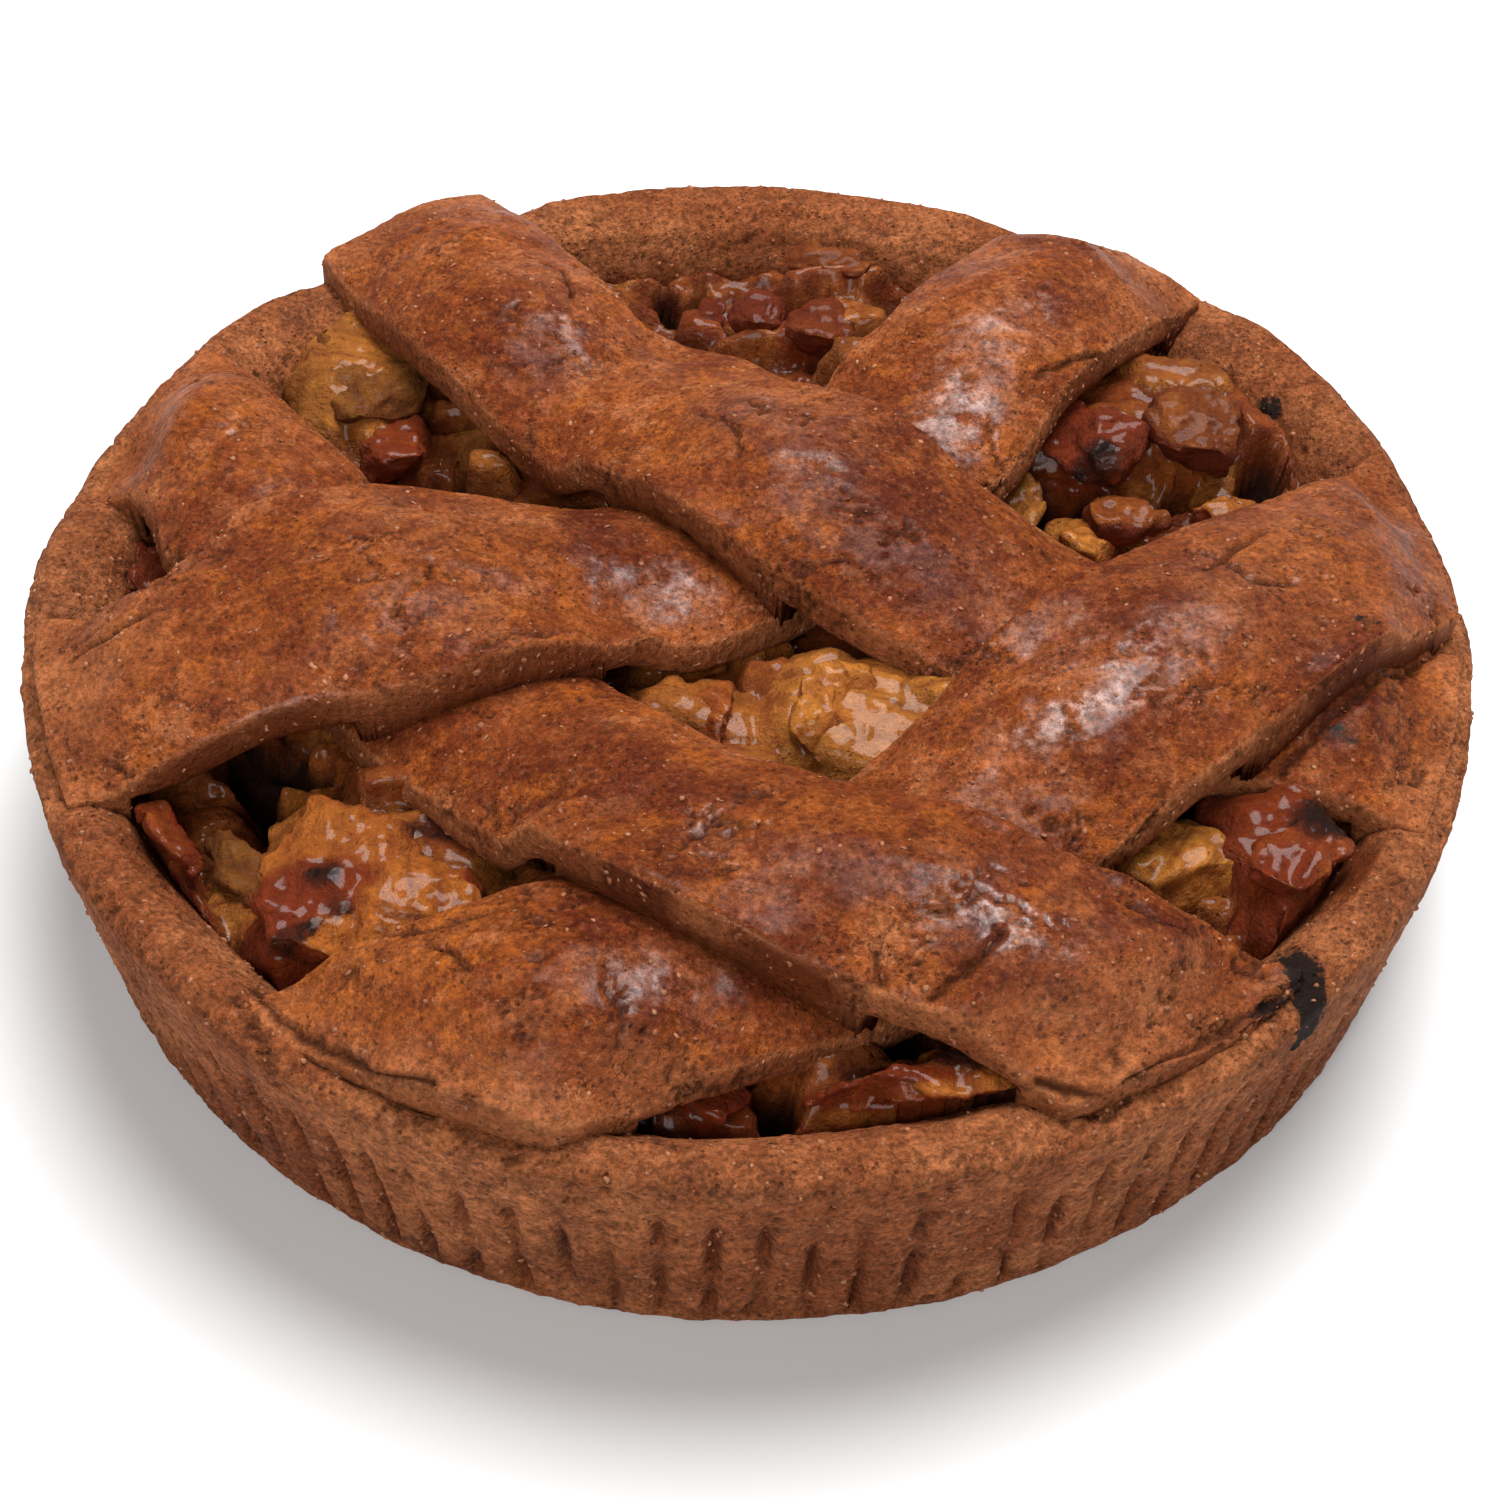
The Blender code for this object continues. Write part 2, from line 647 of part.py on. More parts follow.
def main():
    clear_scene()
    crust_dough = dough_material("crust_dough", BROWN_CRUST, 0.8)
    glazed_dough = dough_material("glazed_dough", BROWN_GLAZE, 0.42)
    stewed_apple = dough_material("stewed_apple", CARAMEL, 0.35)
    apple_flesh = dough_material("apple_flesh", (0.62, 0.25, 0.05), 0.3)
    laid = {strip.name: LaidStrip(strip) for strip in STRIPS}
    roof = HeightMap.sample(lambda x, y: lowest_underside(x, y, laid)).spread(2, np.minimum)
    top = HeightMap.sample(lambda x, y: filling_height(x, y, laid, roof.at(x, y)))
    rim = HeightMap.sample(rim_height)
    bed = HeightMap(np.maximum(top.spread(3, np.maximum).heights, rim.spread(2, np.maximum).heights))
    make_crust(crust_dough)
    for laid_strip in laid.values():
        make_strip(laid_strip, laid, glazed_dough)
    make_filling(top, stewed_apple)
    for lump in LUMPS:
        make_lump(lump, bed, roof, apple_flesh)


main()
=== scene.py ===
"""The looks of an apple pie with an open lattice top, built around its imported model.

The crust, the four strips, the filling and each lump of apple get a detailed mesh that stands
where the model has them. Lengths in tables are in millimetres. -Y is the front, +Z is up.
"""

import math
from functools import cache

import bmesh
import bpy
import numpy as np
from bpy.props import FloatProperty, FloatVectorProperty, IntProperty, PointerProperty
from mathutils import Matrix, Vector
from mathutils.bvhtree import BVHTree


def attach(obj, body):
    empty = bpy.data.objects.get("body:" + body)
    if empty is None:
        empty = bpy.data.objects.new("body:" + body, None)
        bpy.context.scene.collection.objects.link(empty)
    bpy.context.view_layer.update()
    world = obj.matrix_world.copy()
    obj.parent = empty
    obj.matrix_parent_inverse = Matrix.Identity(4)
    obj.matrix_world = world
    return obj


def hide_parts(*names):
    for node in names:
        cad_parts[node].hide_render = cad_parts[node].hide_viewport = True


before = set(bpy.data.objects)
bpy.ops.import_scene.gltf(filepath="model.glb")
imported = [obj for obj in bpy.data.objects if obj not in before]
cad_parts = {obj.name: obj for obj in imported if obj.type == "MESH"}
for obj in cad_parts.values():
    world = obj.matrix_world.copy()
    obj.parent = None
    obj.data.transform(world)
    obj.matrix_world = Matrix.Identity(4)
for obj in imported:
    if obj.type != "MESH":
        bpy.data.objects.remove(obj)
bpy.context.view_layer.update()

bl_info = {
    "name": "Lattice apple pie",
    "version": (1, 0, 0),
    "blender": (4, 5, 0),
    "location": "3D View > Sidebar > Apple pie",
    "description": "Builds the crust, lattice, filling and crumbs of an apple pie",
    "category": "Add Mesh",
}

MM = 0.001
# Lengths in millimetres: how far rays go, a height over everything, half a crack's width
RAY_REACH = 300.0
ABOVE_ALL = 70.0
CRACK_WIDTH = 0.75
STRIP_NODES = ("strip_north", "strip_south", "strip_west", "strip_east")
LUMP_NODES = tuple(sorted(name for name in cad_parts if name.startswith("apple_")))

# Patches on the dough: x, y, half sizes along and across, turn in degrees, strength
DARK_PATCHES = (
    (-20.8, 0.1, 6, 15, 10, 1.0), (-58, -25, 8, 5, 20, 0.5), (-38, 41, 11, 8, -50, 0.8),
    (21.3, 16.8, 7, 12, -40, 0.7), (21.0, 1.8, 17, 10, -20, 1.0), (22, -9, 12, 7, -25, 1.0),
    (52, -17, 14, 9, -20, 0.6), (-15.6, -48.5, 16, 7, -35, 0.7), (12.4, -64.2, 12, 7, -20, 0.5),
    (47.9, -66, 11, 9, -30, 0.75), (64, -22, 10, 5, 40, 0.5), (44.4, -42, 14, 7, 40, 0.5),
    (-14.4, -70.7, 12, 6, 30, 0.9), (-2.6, -79, 12, 5, 25, 0.8), (77, -28.6, 10, 8, -10, 0.9),
    (68.4, 61.6, 13, 6, -20, 0.7), (46.7, 52.4, 9, 6, 30, 0.6), (29.3, -77, 12, 5, -20, 0.5),
    (-42.7, -37.2, 10, 6, -40, 0.4), (-74, 62, 7, 6, 30, 0.8), (-40, -12, 22, 12, 15, 0.32),
    (28, 2, 8, 8, -20, 0.9), (-52, 55, 12, 10, -50, 0.3),
)
ORANGE_PATCHES = (
    (-42, -13.5, 21, 11, 15, 0.7), (-54, -20, 14, 7, 25, 0.6), (-30, -17, 12, 7, 20, 0.65),
    (-79.6, 27.7, 12, 11, -45, 0.8), (-51.6, 53.5, 10, 12, -50, 0.7), (-13, 18.4, 10, 9, -40, 0.8),
    (6.7, 27, 10, 6, -35, 0.7), (-33.4, -76, 15, 9, 20, 0.9), (32, 40.6, 8, 12, 30, 0.6),
    (12, -60, 14, 7, -25, 0.6), (35, 1, 8, 5, -20, 0.6), (74, -8, 12, 8, 35, 0.8),
    (-46, -72, 17, 9, 20, 1.3), (-12, -66, 10, 6, -20, 0.5),
)
DRY_PATCHES = (
    (-90, -25, 12, 17, 0, 0.8), (-47, -77, 14, 5, 25, 0.5), (66, 60, 14, 10, -40, 0.5),
    (72, -12, 16, 12, 30, 0.5), (46, -80, 13, 7, 20, 0.6), (-72, 34, 14, 10, -40, 0.4),
)
GLOSS_PATCHES = (
    (-20, 43, 9, 7, -40, 1.0), (5, 17, 13, 9, -30, 1.0), (30, 28, 7, 9, 40, 0.8),
    (40, -33, 15, 9, 40, 1.0), (34, -73, 13, 11, -30, 1.0), (-7, -81, 9, 6, 20, 0.7),
    (-72, 15, 8, 6, -30, 0.7), (-43, -4, 11, 8, 10, 0.7), (-15, -8, 8, 9, 60, 0.8),
    (25, 3, 8, 6, -30, 0.1), (-31, 51, 8, 6, -30, 0.7), (40, 46, 10, 8, 20, 0.6),
    (-35, 2, 16, 5, 10, 0.4), (66, -14, 12, 8, 30, 0.4), (-8, -58, 12, 6, -30, 0.4),
    (-60, -32, 12, 6, 20, 0.6),
)
JAM_PATCHES = (
    (-69, -41, 9, 5, 20, 1.0), (-58, -35, 9, 5, 15, 1.0), (7, -78, 7, 4, 20, 1.0),
    (-15, -58, 7, 4, -30, 0.8), (-34, 22, 7, 4, -30, 0.8), (46, 42, 9, 4, 20, 0.8),
)
RIM_JAM = (
    (76.0, -51.0, 6, 15, 15, 1.0), (-74, -50, 5, 12, -35, 0.6), (80, 38, 5, 10, 20, 0.5),
)
CHAR_SPOTS = (
    (66.5, -71.0, 2.8, 6.5, 8, 1.2), (75.8, -34, 3.0, 1.6, -30, 0.6),
    (80.5, -21, 2.6, 1.4, -30, 0.6), (78.9, 43.5, 3.2, 2.6, 0, 1.0),
    (63.0, -74.0, 5.0, 1.8, 35, 0.7),
)
# Cracks in the dough, each a run of x, y
CRACK_LINES = (
    (
        (-57.7, -73.6), (-54.4, -78.4), (-50.7, -81.4), (-44.9, -85.5), (-40.0, -88.6),
        (-34.5, -90.7),
    ),
    ((-59.7, -75.9), (-56.6, -79.5), (-53.8, -83.7)),
    ((33.6, -87.7), (41.3, -89.1), (47.4, -84.5), (56.2, -78.1), (63.9, -73.1), (68.7, -69.3)),
    ((68.7, -37.9), (77.0, -30.0), (85.6, -21.9), (93.1, -14.4)),
    ((-88.8, -24.2), (-82.7, -22.9), (-77.0, -20.8)),
    ((41.9, 35.6), (51.6, 43.4), (60.1, 45.4), (66.9, 48.7)),
    ((57.2, -7.4), (62.2, -10.3), (66.1, -15.6), (71.5, -14.6)),
    ((59.7, -13.8), (65.3, -7.2), (69.5, -3.0)),
    ((-36.0, -74.2), (-33.3, -75.9), (-30.9, -79.1)),
    ((-45.3, -68.5), (-37.4, -71.3), (-28.4, -69.2)),
    ((-33.7, 61.9), (-29.6, 58.7), (-28.0, 51.3)),
    ((-49.9, 8.6), (-46.8, 12.0), (-40.8, 8.9)),
    ((15.2, -76.5), (15.4, -79.8)),
    ((21.1, -81.5), (26.4, -77.8), (29.5, -74.2)),
    ((45.4, -66.3), (48.7, -68.5), (52.1, -69.1)),
    ((-7.6, 22.4), (-2.5, 15.7), (-1.7, 9.0)),
    ((-34.9, -29.5), (-30.0, -25.6), (-24.8, -24.0)),
)
# Holes in the filling, made dark with painted shade: x, y, radius
PITS = (
    (-12.9, 79, 5), (-64, -29, 7.5), (-47, 26, 6), (62, -33, 7), (17, -72, 8), (-86, 4, 5),
    (45, 27, 4), (52, 26, 3), (65, 27, 3.5), (77, 30, 5), (2, 0, 5), (4, -86, 4),
)
# Chunks in the filling: x, y, half sizes, turn, height of the top, pale and red shares
FILLING_CHUNKS = (
    (58.0, 37.0, 11.0, 5.5, -5, 36.5, 0.2, 0.5), (66.0, 49.0, 8.0, 4.5, -25, 38.0, 0.3, 0.35),
    (76.0, 42.0, 3.0, 7.0, 10, 37.0, 0.1, 0.6), (49.0, 39.0, 7.0, 5.0, 0, 36.0, 0.0, 0.8),
    (-62.0, 46.0, 4.0, 6.0, 10, 33.5, 0.3, 0.3), (48.0, -45.0, 6.0, 4.0, -20, 34.0, 0.4, 0.3),
    (58.5, 47.4, 8.5, 6.1, 0, 35, 0.15, 0.55), (67.9, 42.5, 5.8, 6.5, -20, 36, 0.55, 0.15),
    (39.2, 33.3, 2.2, 9.5, -12, 32, 0.6, 0.1), (49.7, 20.3, 7.1, 3.0, 8, 30, 0.6, 0.05),
    (57.1, 31.1, 6.8, 3.8, -10, 27, 0.25, 0.3), (71.5, 27.8, 4.4, 4.2, 20, 30, 0.45, 0.1),
    (79.3, 34.3, 1.9, 9.5, 10, 35, 0.0, 0.45), (47.6, 45.8, 4.1, 5.7, 0, 34, 0.0, 0.9),
    (70.7, 36.6, 4.7, 4.9, 30, 33, 0.35, 0.2), (-9.0, 68.7, 3.6, 2.3, 0, 31, 0.05, 0.6),
    (7.3, 66.7, 3.6, 3.0, 0, 32, 0.05, 0.7), (15.5, 70.2, 4.9, 3.8, 0, 33, 0.25, 0.35),
    (17.1, 58.7, 4.9, 2.7, -10, 34, 0.3, 0.3), (12.9, 74.8, 9.0, 1.7, 4, 37, 0.05, 0.5),
    (-0.8, 66.2, 5.5, 2.3, 0, 31, 0.1, 0.4), (-61.5, 54.5, 7.5, 13.5, -8, 36.5, 0.5, 0.05),
    (-54.8, 36.7, 4.4, 4.9, 0, 32, 0.1, 0.7), (-40.7, 27.9, 4.7, 2.7, -20, 35, 0.3, 0.1),
    (-65.2, 38.9, 4.1, 4.2, 0, 31, 0.1, 0.4), (-69.0, 52.3, 3.0, 5.7, 0, 31, 0.1, 0.5),
    (-90.5, 5.6, 3.6, 5.7, 0, 32, 0.0, 0.8), (-73.1, -50.2, 2.2, 11.8, 32, 33, 0.0, 0.55),
    (-44.3, -39.4, 6.3, 2.3, -8, 38, 0.15, 0.5), (-59.7, -30.4, 4.1, 3.4, 30, 28, 0.25, 0.1),
    (-45.2, -53.8, 12.3, 9.5, -8, 36, 0.4, 0.3), (-65.2, -53.2, 2.5, 8.4, 12, 29, 0.45, 0),
    (-54.3, -61.9, 5.5, 4.9, 20, 33, 0.0, 0.8), (-22.6, -58.1, 5.8, 2.7, -28, 37, 0.2, 0.4),
    (-71.2, -40.5, 4.1, 2.7, 30, 28, 0.1, 0.5), (-6.8, -7.6, 6.8, 3.8, 25, 35, 0.45, 0.05),
    (-11.5, -13.1, 4.9, 2.7, 10, 33, 0.25, 0.2), (1.5, -8.1, 4.1, 3.0, 20, 33, 0.35, 0.05),
    (-5.7, -25.7, 8.5, 4.9, -14, 37, 0.3, 0.2), (0.4, -33.8, 4.9, 3.8, -25, 37, 0.35, 0.3),
    (16.0, -27.1, 11.5, 8.8, -14, 39, 0.6, 0.1), (2.9, -19.4, 3.6, 3.0, 0, 37, 0.2, 0.5),
    (25.3, -23.2, 4.9, 3.0, 8, 40, 0.85, 0), (52.4, -49.2, 6.3, 4.9, -18, 33, 0.7, 0.1),
    (69.5, -51.0, 6.5, 12.5, 15, 38, 0.0, 0.75), (65.4, -41.0, 2.2, 6.8, 0, 36, 0.1, 0.4),
    (60.1, -47.4, 3.6, 4.9, 0, 30, 0.5, 0.15), (56.0, -52.8, 5.5, 1.9, -12, 31, 0.2, 0.4),
    (10.8, -79.3, 5.5, 4.6, 30, 36, 0.1, 0.45), (21.2, -84.3, 13.7, 3.8, -3, 34, 0.4, 0.5),
    (26.1, -74.5, 6.8, 3.0, -14, 29, 0.35, 0), (3.4, -86.7, 8.2, 2.3, 3, 31, 0.1, 0.6),
    (-4.7, -85.2, 5.5, 3.4, 10, 33, 0.0, 0.9), (-13.2, -88.2, 6.0, 3.4, -6, 33, 0, 0.3),
)
# Looks of the lumps: pale share, red share, char share, and how its fibres run in degrees
LUMP_LOOKS = {
    "apple_nw_pale": (0.55, 0.0, 0.0, 110),
    "apple_nw_red": (0.1, 0.75, 0.0, 20),
    "apple_w_brown": (0.0, 0.85, 0.1, 30),
    "apple_sw_large": (0.3, 0.38, 0.0, 100),
    "apple_sw_green": (0.5, 0.0, 0.0, 120),
    "apple_sw_skin": (0.0, 0.6, 0.0, 120),
    "apple_sw_small": (0.2, 0.5, 0.0, 10),
    "apple_n_red": (0.0, 0.9, 0.0, 0),
    "apple_n_lump": (0.05, 0.7, 0.0, 10),
    "apple_n_brown": (0.0, 0.9, 0.1, 10),
    "apple_n_skin": (0.0, 0.45, 0.0, 0),
    "apple_ne_red": (0.0, 1.0, 0.1, 0),
    "apple_ne_pale": (0.15, 0.5, 0.0, 80),
    "apple_ne_yellow": (0.75, 0.0, 0.0, 64),
    "apple_ne_slice": (0.7, 0.1, 0.0, 8),
    "apple_ne_low": (0.2, 0.5, 0.0, 10),
    "apple_ne_side": (0.45, 0.3, 0.0, 0),
    "apple_mid_orange": (0.7, 0.10, 0.0, -60),
    "apple_mid_brown": (0.15, 0.4, 0.0, -25),
    "apple_mid_green": (0.5, 0.0, 0.0, 40),
    "apple_mid_back": (0.2, 0.3, 0.0, 20),
    "apple_se_pale": (0.8, 0.05, 0.0, 60),
    "apple_se_burnt": (0.0, 0.6, 0.1, 54),
    "apple_s_ridge": (0.4, 0.35, 0.0, 90),
    "apple_s_char": (0.0, 0.3, 1.0, 8),
    "apple_s_red": (0.0, 0.9, 0.1, 0),
    "apple_s_green": (0.5, 0.0, 0.0, -20),
}
# How much broader than its solid a lump is in x and y, where it isn't 1.3 times
LUMP_GROWTH = {
    "apple_se_burnt": (1.05, 1.15),
    "apple_ne_pale": (1.15, 1.15),
    "apple_nw_pale": (1.05, 1.38),
}
# Lumps that are smoother than the others, and how often they are smoothed
SMOOTH_LUMPS = {"apple_se_burnt": 50, "apple_nw_pale": 30}
# Lumps made darker towards near black, partly as painted shade in the openings and partly for
# browning all through, and how much darker they are
LUMP_SHADE_AND_BROWNING = {
    "apple_nw_pale": 0.55,
    "apple_n_red": 0.25,
    "apple_n_lump": 0.3,
    "apple_n_brown": 0.3,
    "apple_n_skin": 0.4,
    "apple_ne_red": 0.1,
    "apple_ne_low": 0.2,
    "apple_sw_green": 0.6,
    "apple_ne_pale": 0.38,
    "apple_ne_yellow": 0.35,
    "apple_se_pale": 0.1,
    "apple_mid_green": 0.5,
    "apple_s_green": 0.6,
    "apple_w_brown": 0.3,
}
# Stains on the apple: x, y, half sizes, turn, strength
RED_STAINS = (
    (-54, -60.5, 12, 6, 20, 1.0), (-59, -66, 8, 5, 20, 1.0), (-36, -50, 7, 4, 20, 0.8),
    (49.9, 31.5, 9, 8, 0, 0.8), (3, -26, 3, 9, 10, 0.6), (16, -86, 14, 2.0, 0, 1.0),
    (66, -56, 8, 6, 40, 0.9),
)
CHAR_STAINS = (
    (-36.5, -47, 6.5, 3.2, 15, 1.2), (-51.4, -58, 2.6, 2.2, 0, 0.9),
    (-49.1, -62.3, 2.2, 1.6, 0, 0.9), (-53.6, -65.8, 3.4, 1.4, 20, 0.9),
    (50.5, 24.6, 4.0, 3.0, 20, 1.2), (43.9, 28.5, 2.0, 2.0, 0, 0.9), (18, -83.2, 9, 1.5, 2, 1.1),
    (26, -83.6, 6, 1.6, 2, 1.2), (72.5, -46.0, 5.0, 4.2, 30, 1.4), (-14.5, -87, 6.5, 4.5, 8, 1.6),
)


# Tools for nodes


class Tree:
    """Adds nodes to a node tree and links them."""

    def __init__(self, tree):
        self.tree = tree

    def add(self, kind, settings=None, **inputs):
        node = self.tree.nodes.new(kind)
        for key, value in (settings or {}).items():
            setattr(node, key, value)
        return self.fill(node, **inputs)

    def fill(self, node, **inputs):
        """Feeds inputs by their name, with _ for a space, or by their number, as i0."""
        for key, value in inputs.items():
            socket = node.inputs[int(key[1:]) if key[1:].isdigit() else key.replace("_", " ")]
            self.feed(socket, value)
        return node

    def feed(self, socket, value):
        if isinstance(value, bpy.types.Node):
            value = next(output for output in value.outputs if output.enabled)
        if isinstance(value, bpy.types.NodeSocket):
            self.tree.links.new(value, socket)
        else:
            socket.default_value = value

    def compute(self, kind, operation, values):
        node = self.add(kind, {"operation": operation})
        for socket, value in zip(node.inputs, values):
            self.feed(socket, value)
        return node.outputs[0]

    def math(self, operation, *values):
        return self.compute("ShaderNodeMath", operation, values)

    def times(self, first, second):
        return self.math("MULTIPLY", first, second)

    def fit(self, value, gain, rest):
        return self.math("MULTIPLY_ADD", value, gain, rest)

    def most(self, first, second):
        return self.math("MAXIMUM", first, second)

    def vector(self, operation, *values):
        return self.compute("ShaderNodeVectorMath", operation, values)

    def scaled(self, vector, factor):
        """A vector or colour times a value."""
        node = self.add("ShaderNodeVectorMath", {"operation": "SCALE"}, i0=vector, Scale=factor)
        return node.outputs[0]

    def step(self, value, low, high):
        """A smooth step from 0 at low to 1 at high, or the other way round."""
        settings = {"interpolation_type": "SMOOTHSTEP"}
        return self.add("ShaderNodeMapRange", settings, i0=value, i1=low, i2=high).outputs[0]

    def per_metre(self, size):
        """The scale of a texture from its size in millimetres, a number or a socket."""
        return 1000.0 / size if isinstance(size, float) else self.math("DIVIDE", 1000.0, size)

    def noise(self, place, size, detail=3.0, rough=0.5):
        inputs = {"Vector": place, "Scale": self.per_metre(size), "Detail": detail}
        return self.add("ShaderNodeTexNoise", Roughness=rough, **inputs).outputs[0]

    def cells(self, place, size, feature="F1"):
        inputs = {"Vector": place, "Scale": self.per_metre(size)}
        node = self.add("ShaderNodeTexVoronoi", {"feature": feature}, **inputs)
        return node.outputs["Distance"]

    def sway(self, place, scale, reach, detail=2.0):
        """An uneven offset at each place, up to half the reach along each axis."""
        noise = self.add("ShaderNodeTexNoise", Vector=place, Scale=scale, Detail=detail)
        centred = self.vector("SUBTRACT", noise.outputs["Color"], (0.5, 0.5, 0.5))
        return self.scaled(centred, reach)

    def blend(self, share, first, second):
        colours = {"i6": colour_value(first), "i7": colour_value(second)}
        return self.add("ShaderNodeMix", {"data_type": "RGBA"}, i0=share, **colours).outputs[2]

    def layered(self, colour, *layers):
        """The colour with layers over it, each a mask, its strength and its own colour."""
        for mask, strength, paint in layers:
            colour = self.blend(self.times(mask, strength), colour, paint)
        return colour

    def attribute(self, name):
        if self.tree.bl_idname == "GeometryNodeTree":
            return self.add("GeometryNodeInputNamedAttribute", Name=name).outputs["Attribute"]
        return self.add("ShaderNodeAttribute", {"attribute_name": name}).outputs["Fac"]


def colour_value(value):
    return value if isinstance(value, bpy.types.NodeSocket) else (*value, 1.0)


def new_group(name, kind, inputs, outputs):
    """An empty node group with named sockets: its tree, its start's outputs and its end."""
    group = bpy.data.node_groups.new(name, kind)
    for label, socket_kind, default in inputs:
        socket = group.interface.new_socket(label, in_out="INPUT", socket_type=socket_kind)
        if default is not None:
            socket.default_value = default
    for label, socket_kind in outputs:
        group.interface.new_socket(label, in_out="OUTPUT", socket_type=socket_kind)
    start, end = group.nodes.new("NodeGroupInput"), group.nodes.new("NodeGroupOutput")
    return Tree(group), start.outputs, end


def new_surface_group(name, inputs):
    """An empty Geometry Nodes group for a mesh and its material."""
    geometry = ("Geometry", "NodeSocketGeometry")
    inputs = [(*geometry, None), ("Material", "NodeSocketMaterial", None), *inputs]
    return new_group(name, "GeometryNodeTree", inputs, [geometry])


def as_floats(numbers):
    return [(label, "NodeSocketFloat", value) for label, value in numbers.items()]


# Geometry Nodes trees


# Kinds of relief: size and height in millimetres where a piece gives no others
RELIEF_KINDS = {
    "swell": (16.0, 0.5),
    "lump": (5.0, 0.2),
    "grain": (1.4, 0.1),
    "pore": (2.2, 0.3),
    "crack": (7.0, 0.5),
    "fibre": (1.2, 0.0),
    "crease": (5.0, 0.0),
}


@cache
def relief_group():
    """Moves a surface along its normals by lumps, grains, pores, cracks, fibres and creases."""
    numbers = {}
    for kind, (size, height) in RELIEF_KINDS.items():
        numbers |= {kind + " size": size, kind + " height": height}
    numbers |= {"crack share": 0.3, "fibre turn": 0.0}
    inputs = [*as_floats(numbers), ("shift", "NodeSocketVector", (0.0, 0.0, 0.0))]
    tree, value, end = new_surface_group("Baked relief", inputs)
    place = tree.vector("ADD", tree.add("GeometryNodeInputPosition"), value["shift"])
    rough = tree.attribute("rough")

    def swing(kind, detail):
        centred = tree.fit(tree.noise(place, value[kind + " size"], detail), 2.0, -1.0)
        return tree.times(centred, value[kind + " height"])

    grain = tree.times(swing("grain", 3.0), tree.fit(rough, 0.7, 0.3))
    patch = tree.step(tree.noise(place, 9.0, 2.0), 0.42, 0.62)
    pore = tree.times(tree.step(tree.cells(place, value["pore size"]), 0.34, 0.12), patch)
    pore = tree.times(pore, tree.fit(rough, 0.8, 0.2))
    vein = tree.math("SUBTRACT", tree.noise(place, value["crack size"], 4.0, 0.6), 0.5)
    line = tree.step(tree.math("ABSOLUTE", vein), 0.022, 0.0)
    where = tree.noise(tree.vector("ADD", place, (0.31, 0.17, 0.05)), 19.0, 2.0)
    limit = tree.math("SUBTRACT", 0.75, tree.times(value["crack share"], 0.5))
    crack = tree.times(line, tree.step(tree.math("SUBTRACT", where, limit), 0.0, 0.08))
    turned = tree.add("ShaderNodeVectorRotate", {"rotation_type": "Z_AXIS"}, Vector=place)
    tree.fill(turned, Angle=tree.math("RADIANS", value["fibre turn"]))
    stretched = tree.vector("MULTIPLY", turned, (0.16, 1.0, 0.6))
    fibre = tree.fit(tree.noise(stretched, value["fibre size"], 2.0), 2.0, -1.0)
    fibre = tree.times(fibre, value["fibre height"])
    bent = tree.vector("ADD", place, tree.sway(place, 260.0, 0.005))
    edge = tree.cells(bent, value["crease size"], "DISTANCE_TO_EDGE")
    crease = tree.times(tree.step(edge, 0.20, 0.0), value["crease height"])
    rise = tree.math("ADD", swing("swell", 1.0), swing("lump", 2.0))
    rise = tree.math("ADD", rise, tree.math("ADD", grain, fibre))
    fall = tree.fit(crack, value["crack height"], tree.times(pore, value["pore height"]))
    rise = tree.math("SUBTRACT", rise, tree.math("ADD", fall, crease))
    push = tree.scaled(tree.add("GeometryNodeInputNormal"), tree.times(rise, MM))
    # The pores, cracks and creases are kept as a mask that the materials darken as painted shade
    stored = tree.add("GeometryNodeStoreNamedAttribute", Geometry=value["Geometry"])
    cavity = tree.most(tree.most(pore, crack), tree.times(crease, 0.9))
    tree.fill(stored, Name="cavity", Value=cavity)
    moved = tree.add("GeometryNodeSetPosition", Geometry=stored, Offset=push)
    real = tree.add("GeometryNodeRealizeInstances", Geometry=moved)
    tree.fill(end, i0=tree.add("GeometryNodeSetMaterial", i0=real, Material=value["Material"]))
    return tree.tree


def random_value(tree, kind, low, high, seed):
    """A random value for each point, between two numbers or two vectors."""
    node = tree.add("FunctionNodeRandomValue", {"data_type": kind}, Seed=seed)
    first = 0 if kind == "FLOAT_VECTOR" else 2
    tree.fill(node, **{f"i{first}": low, f"i{first + 1}": high})
    return node.outputs[first // 2]


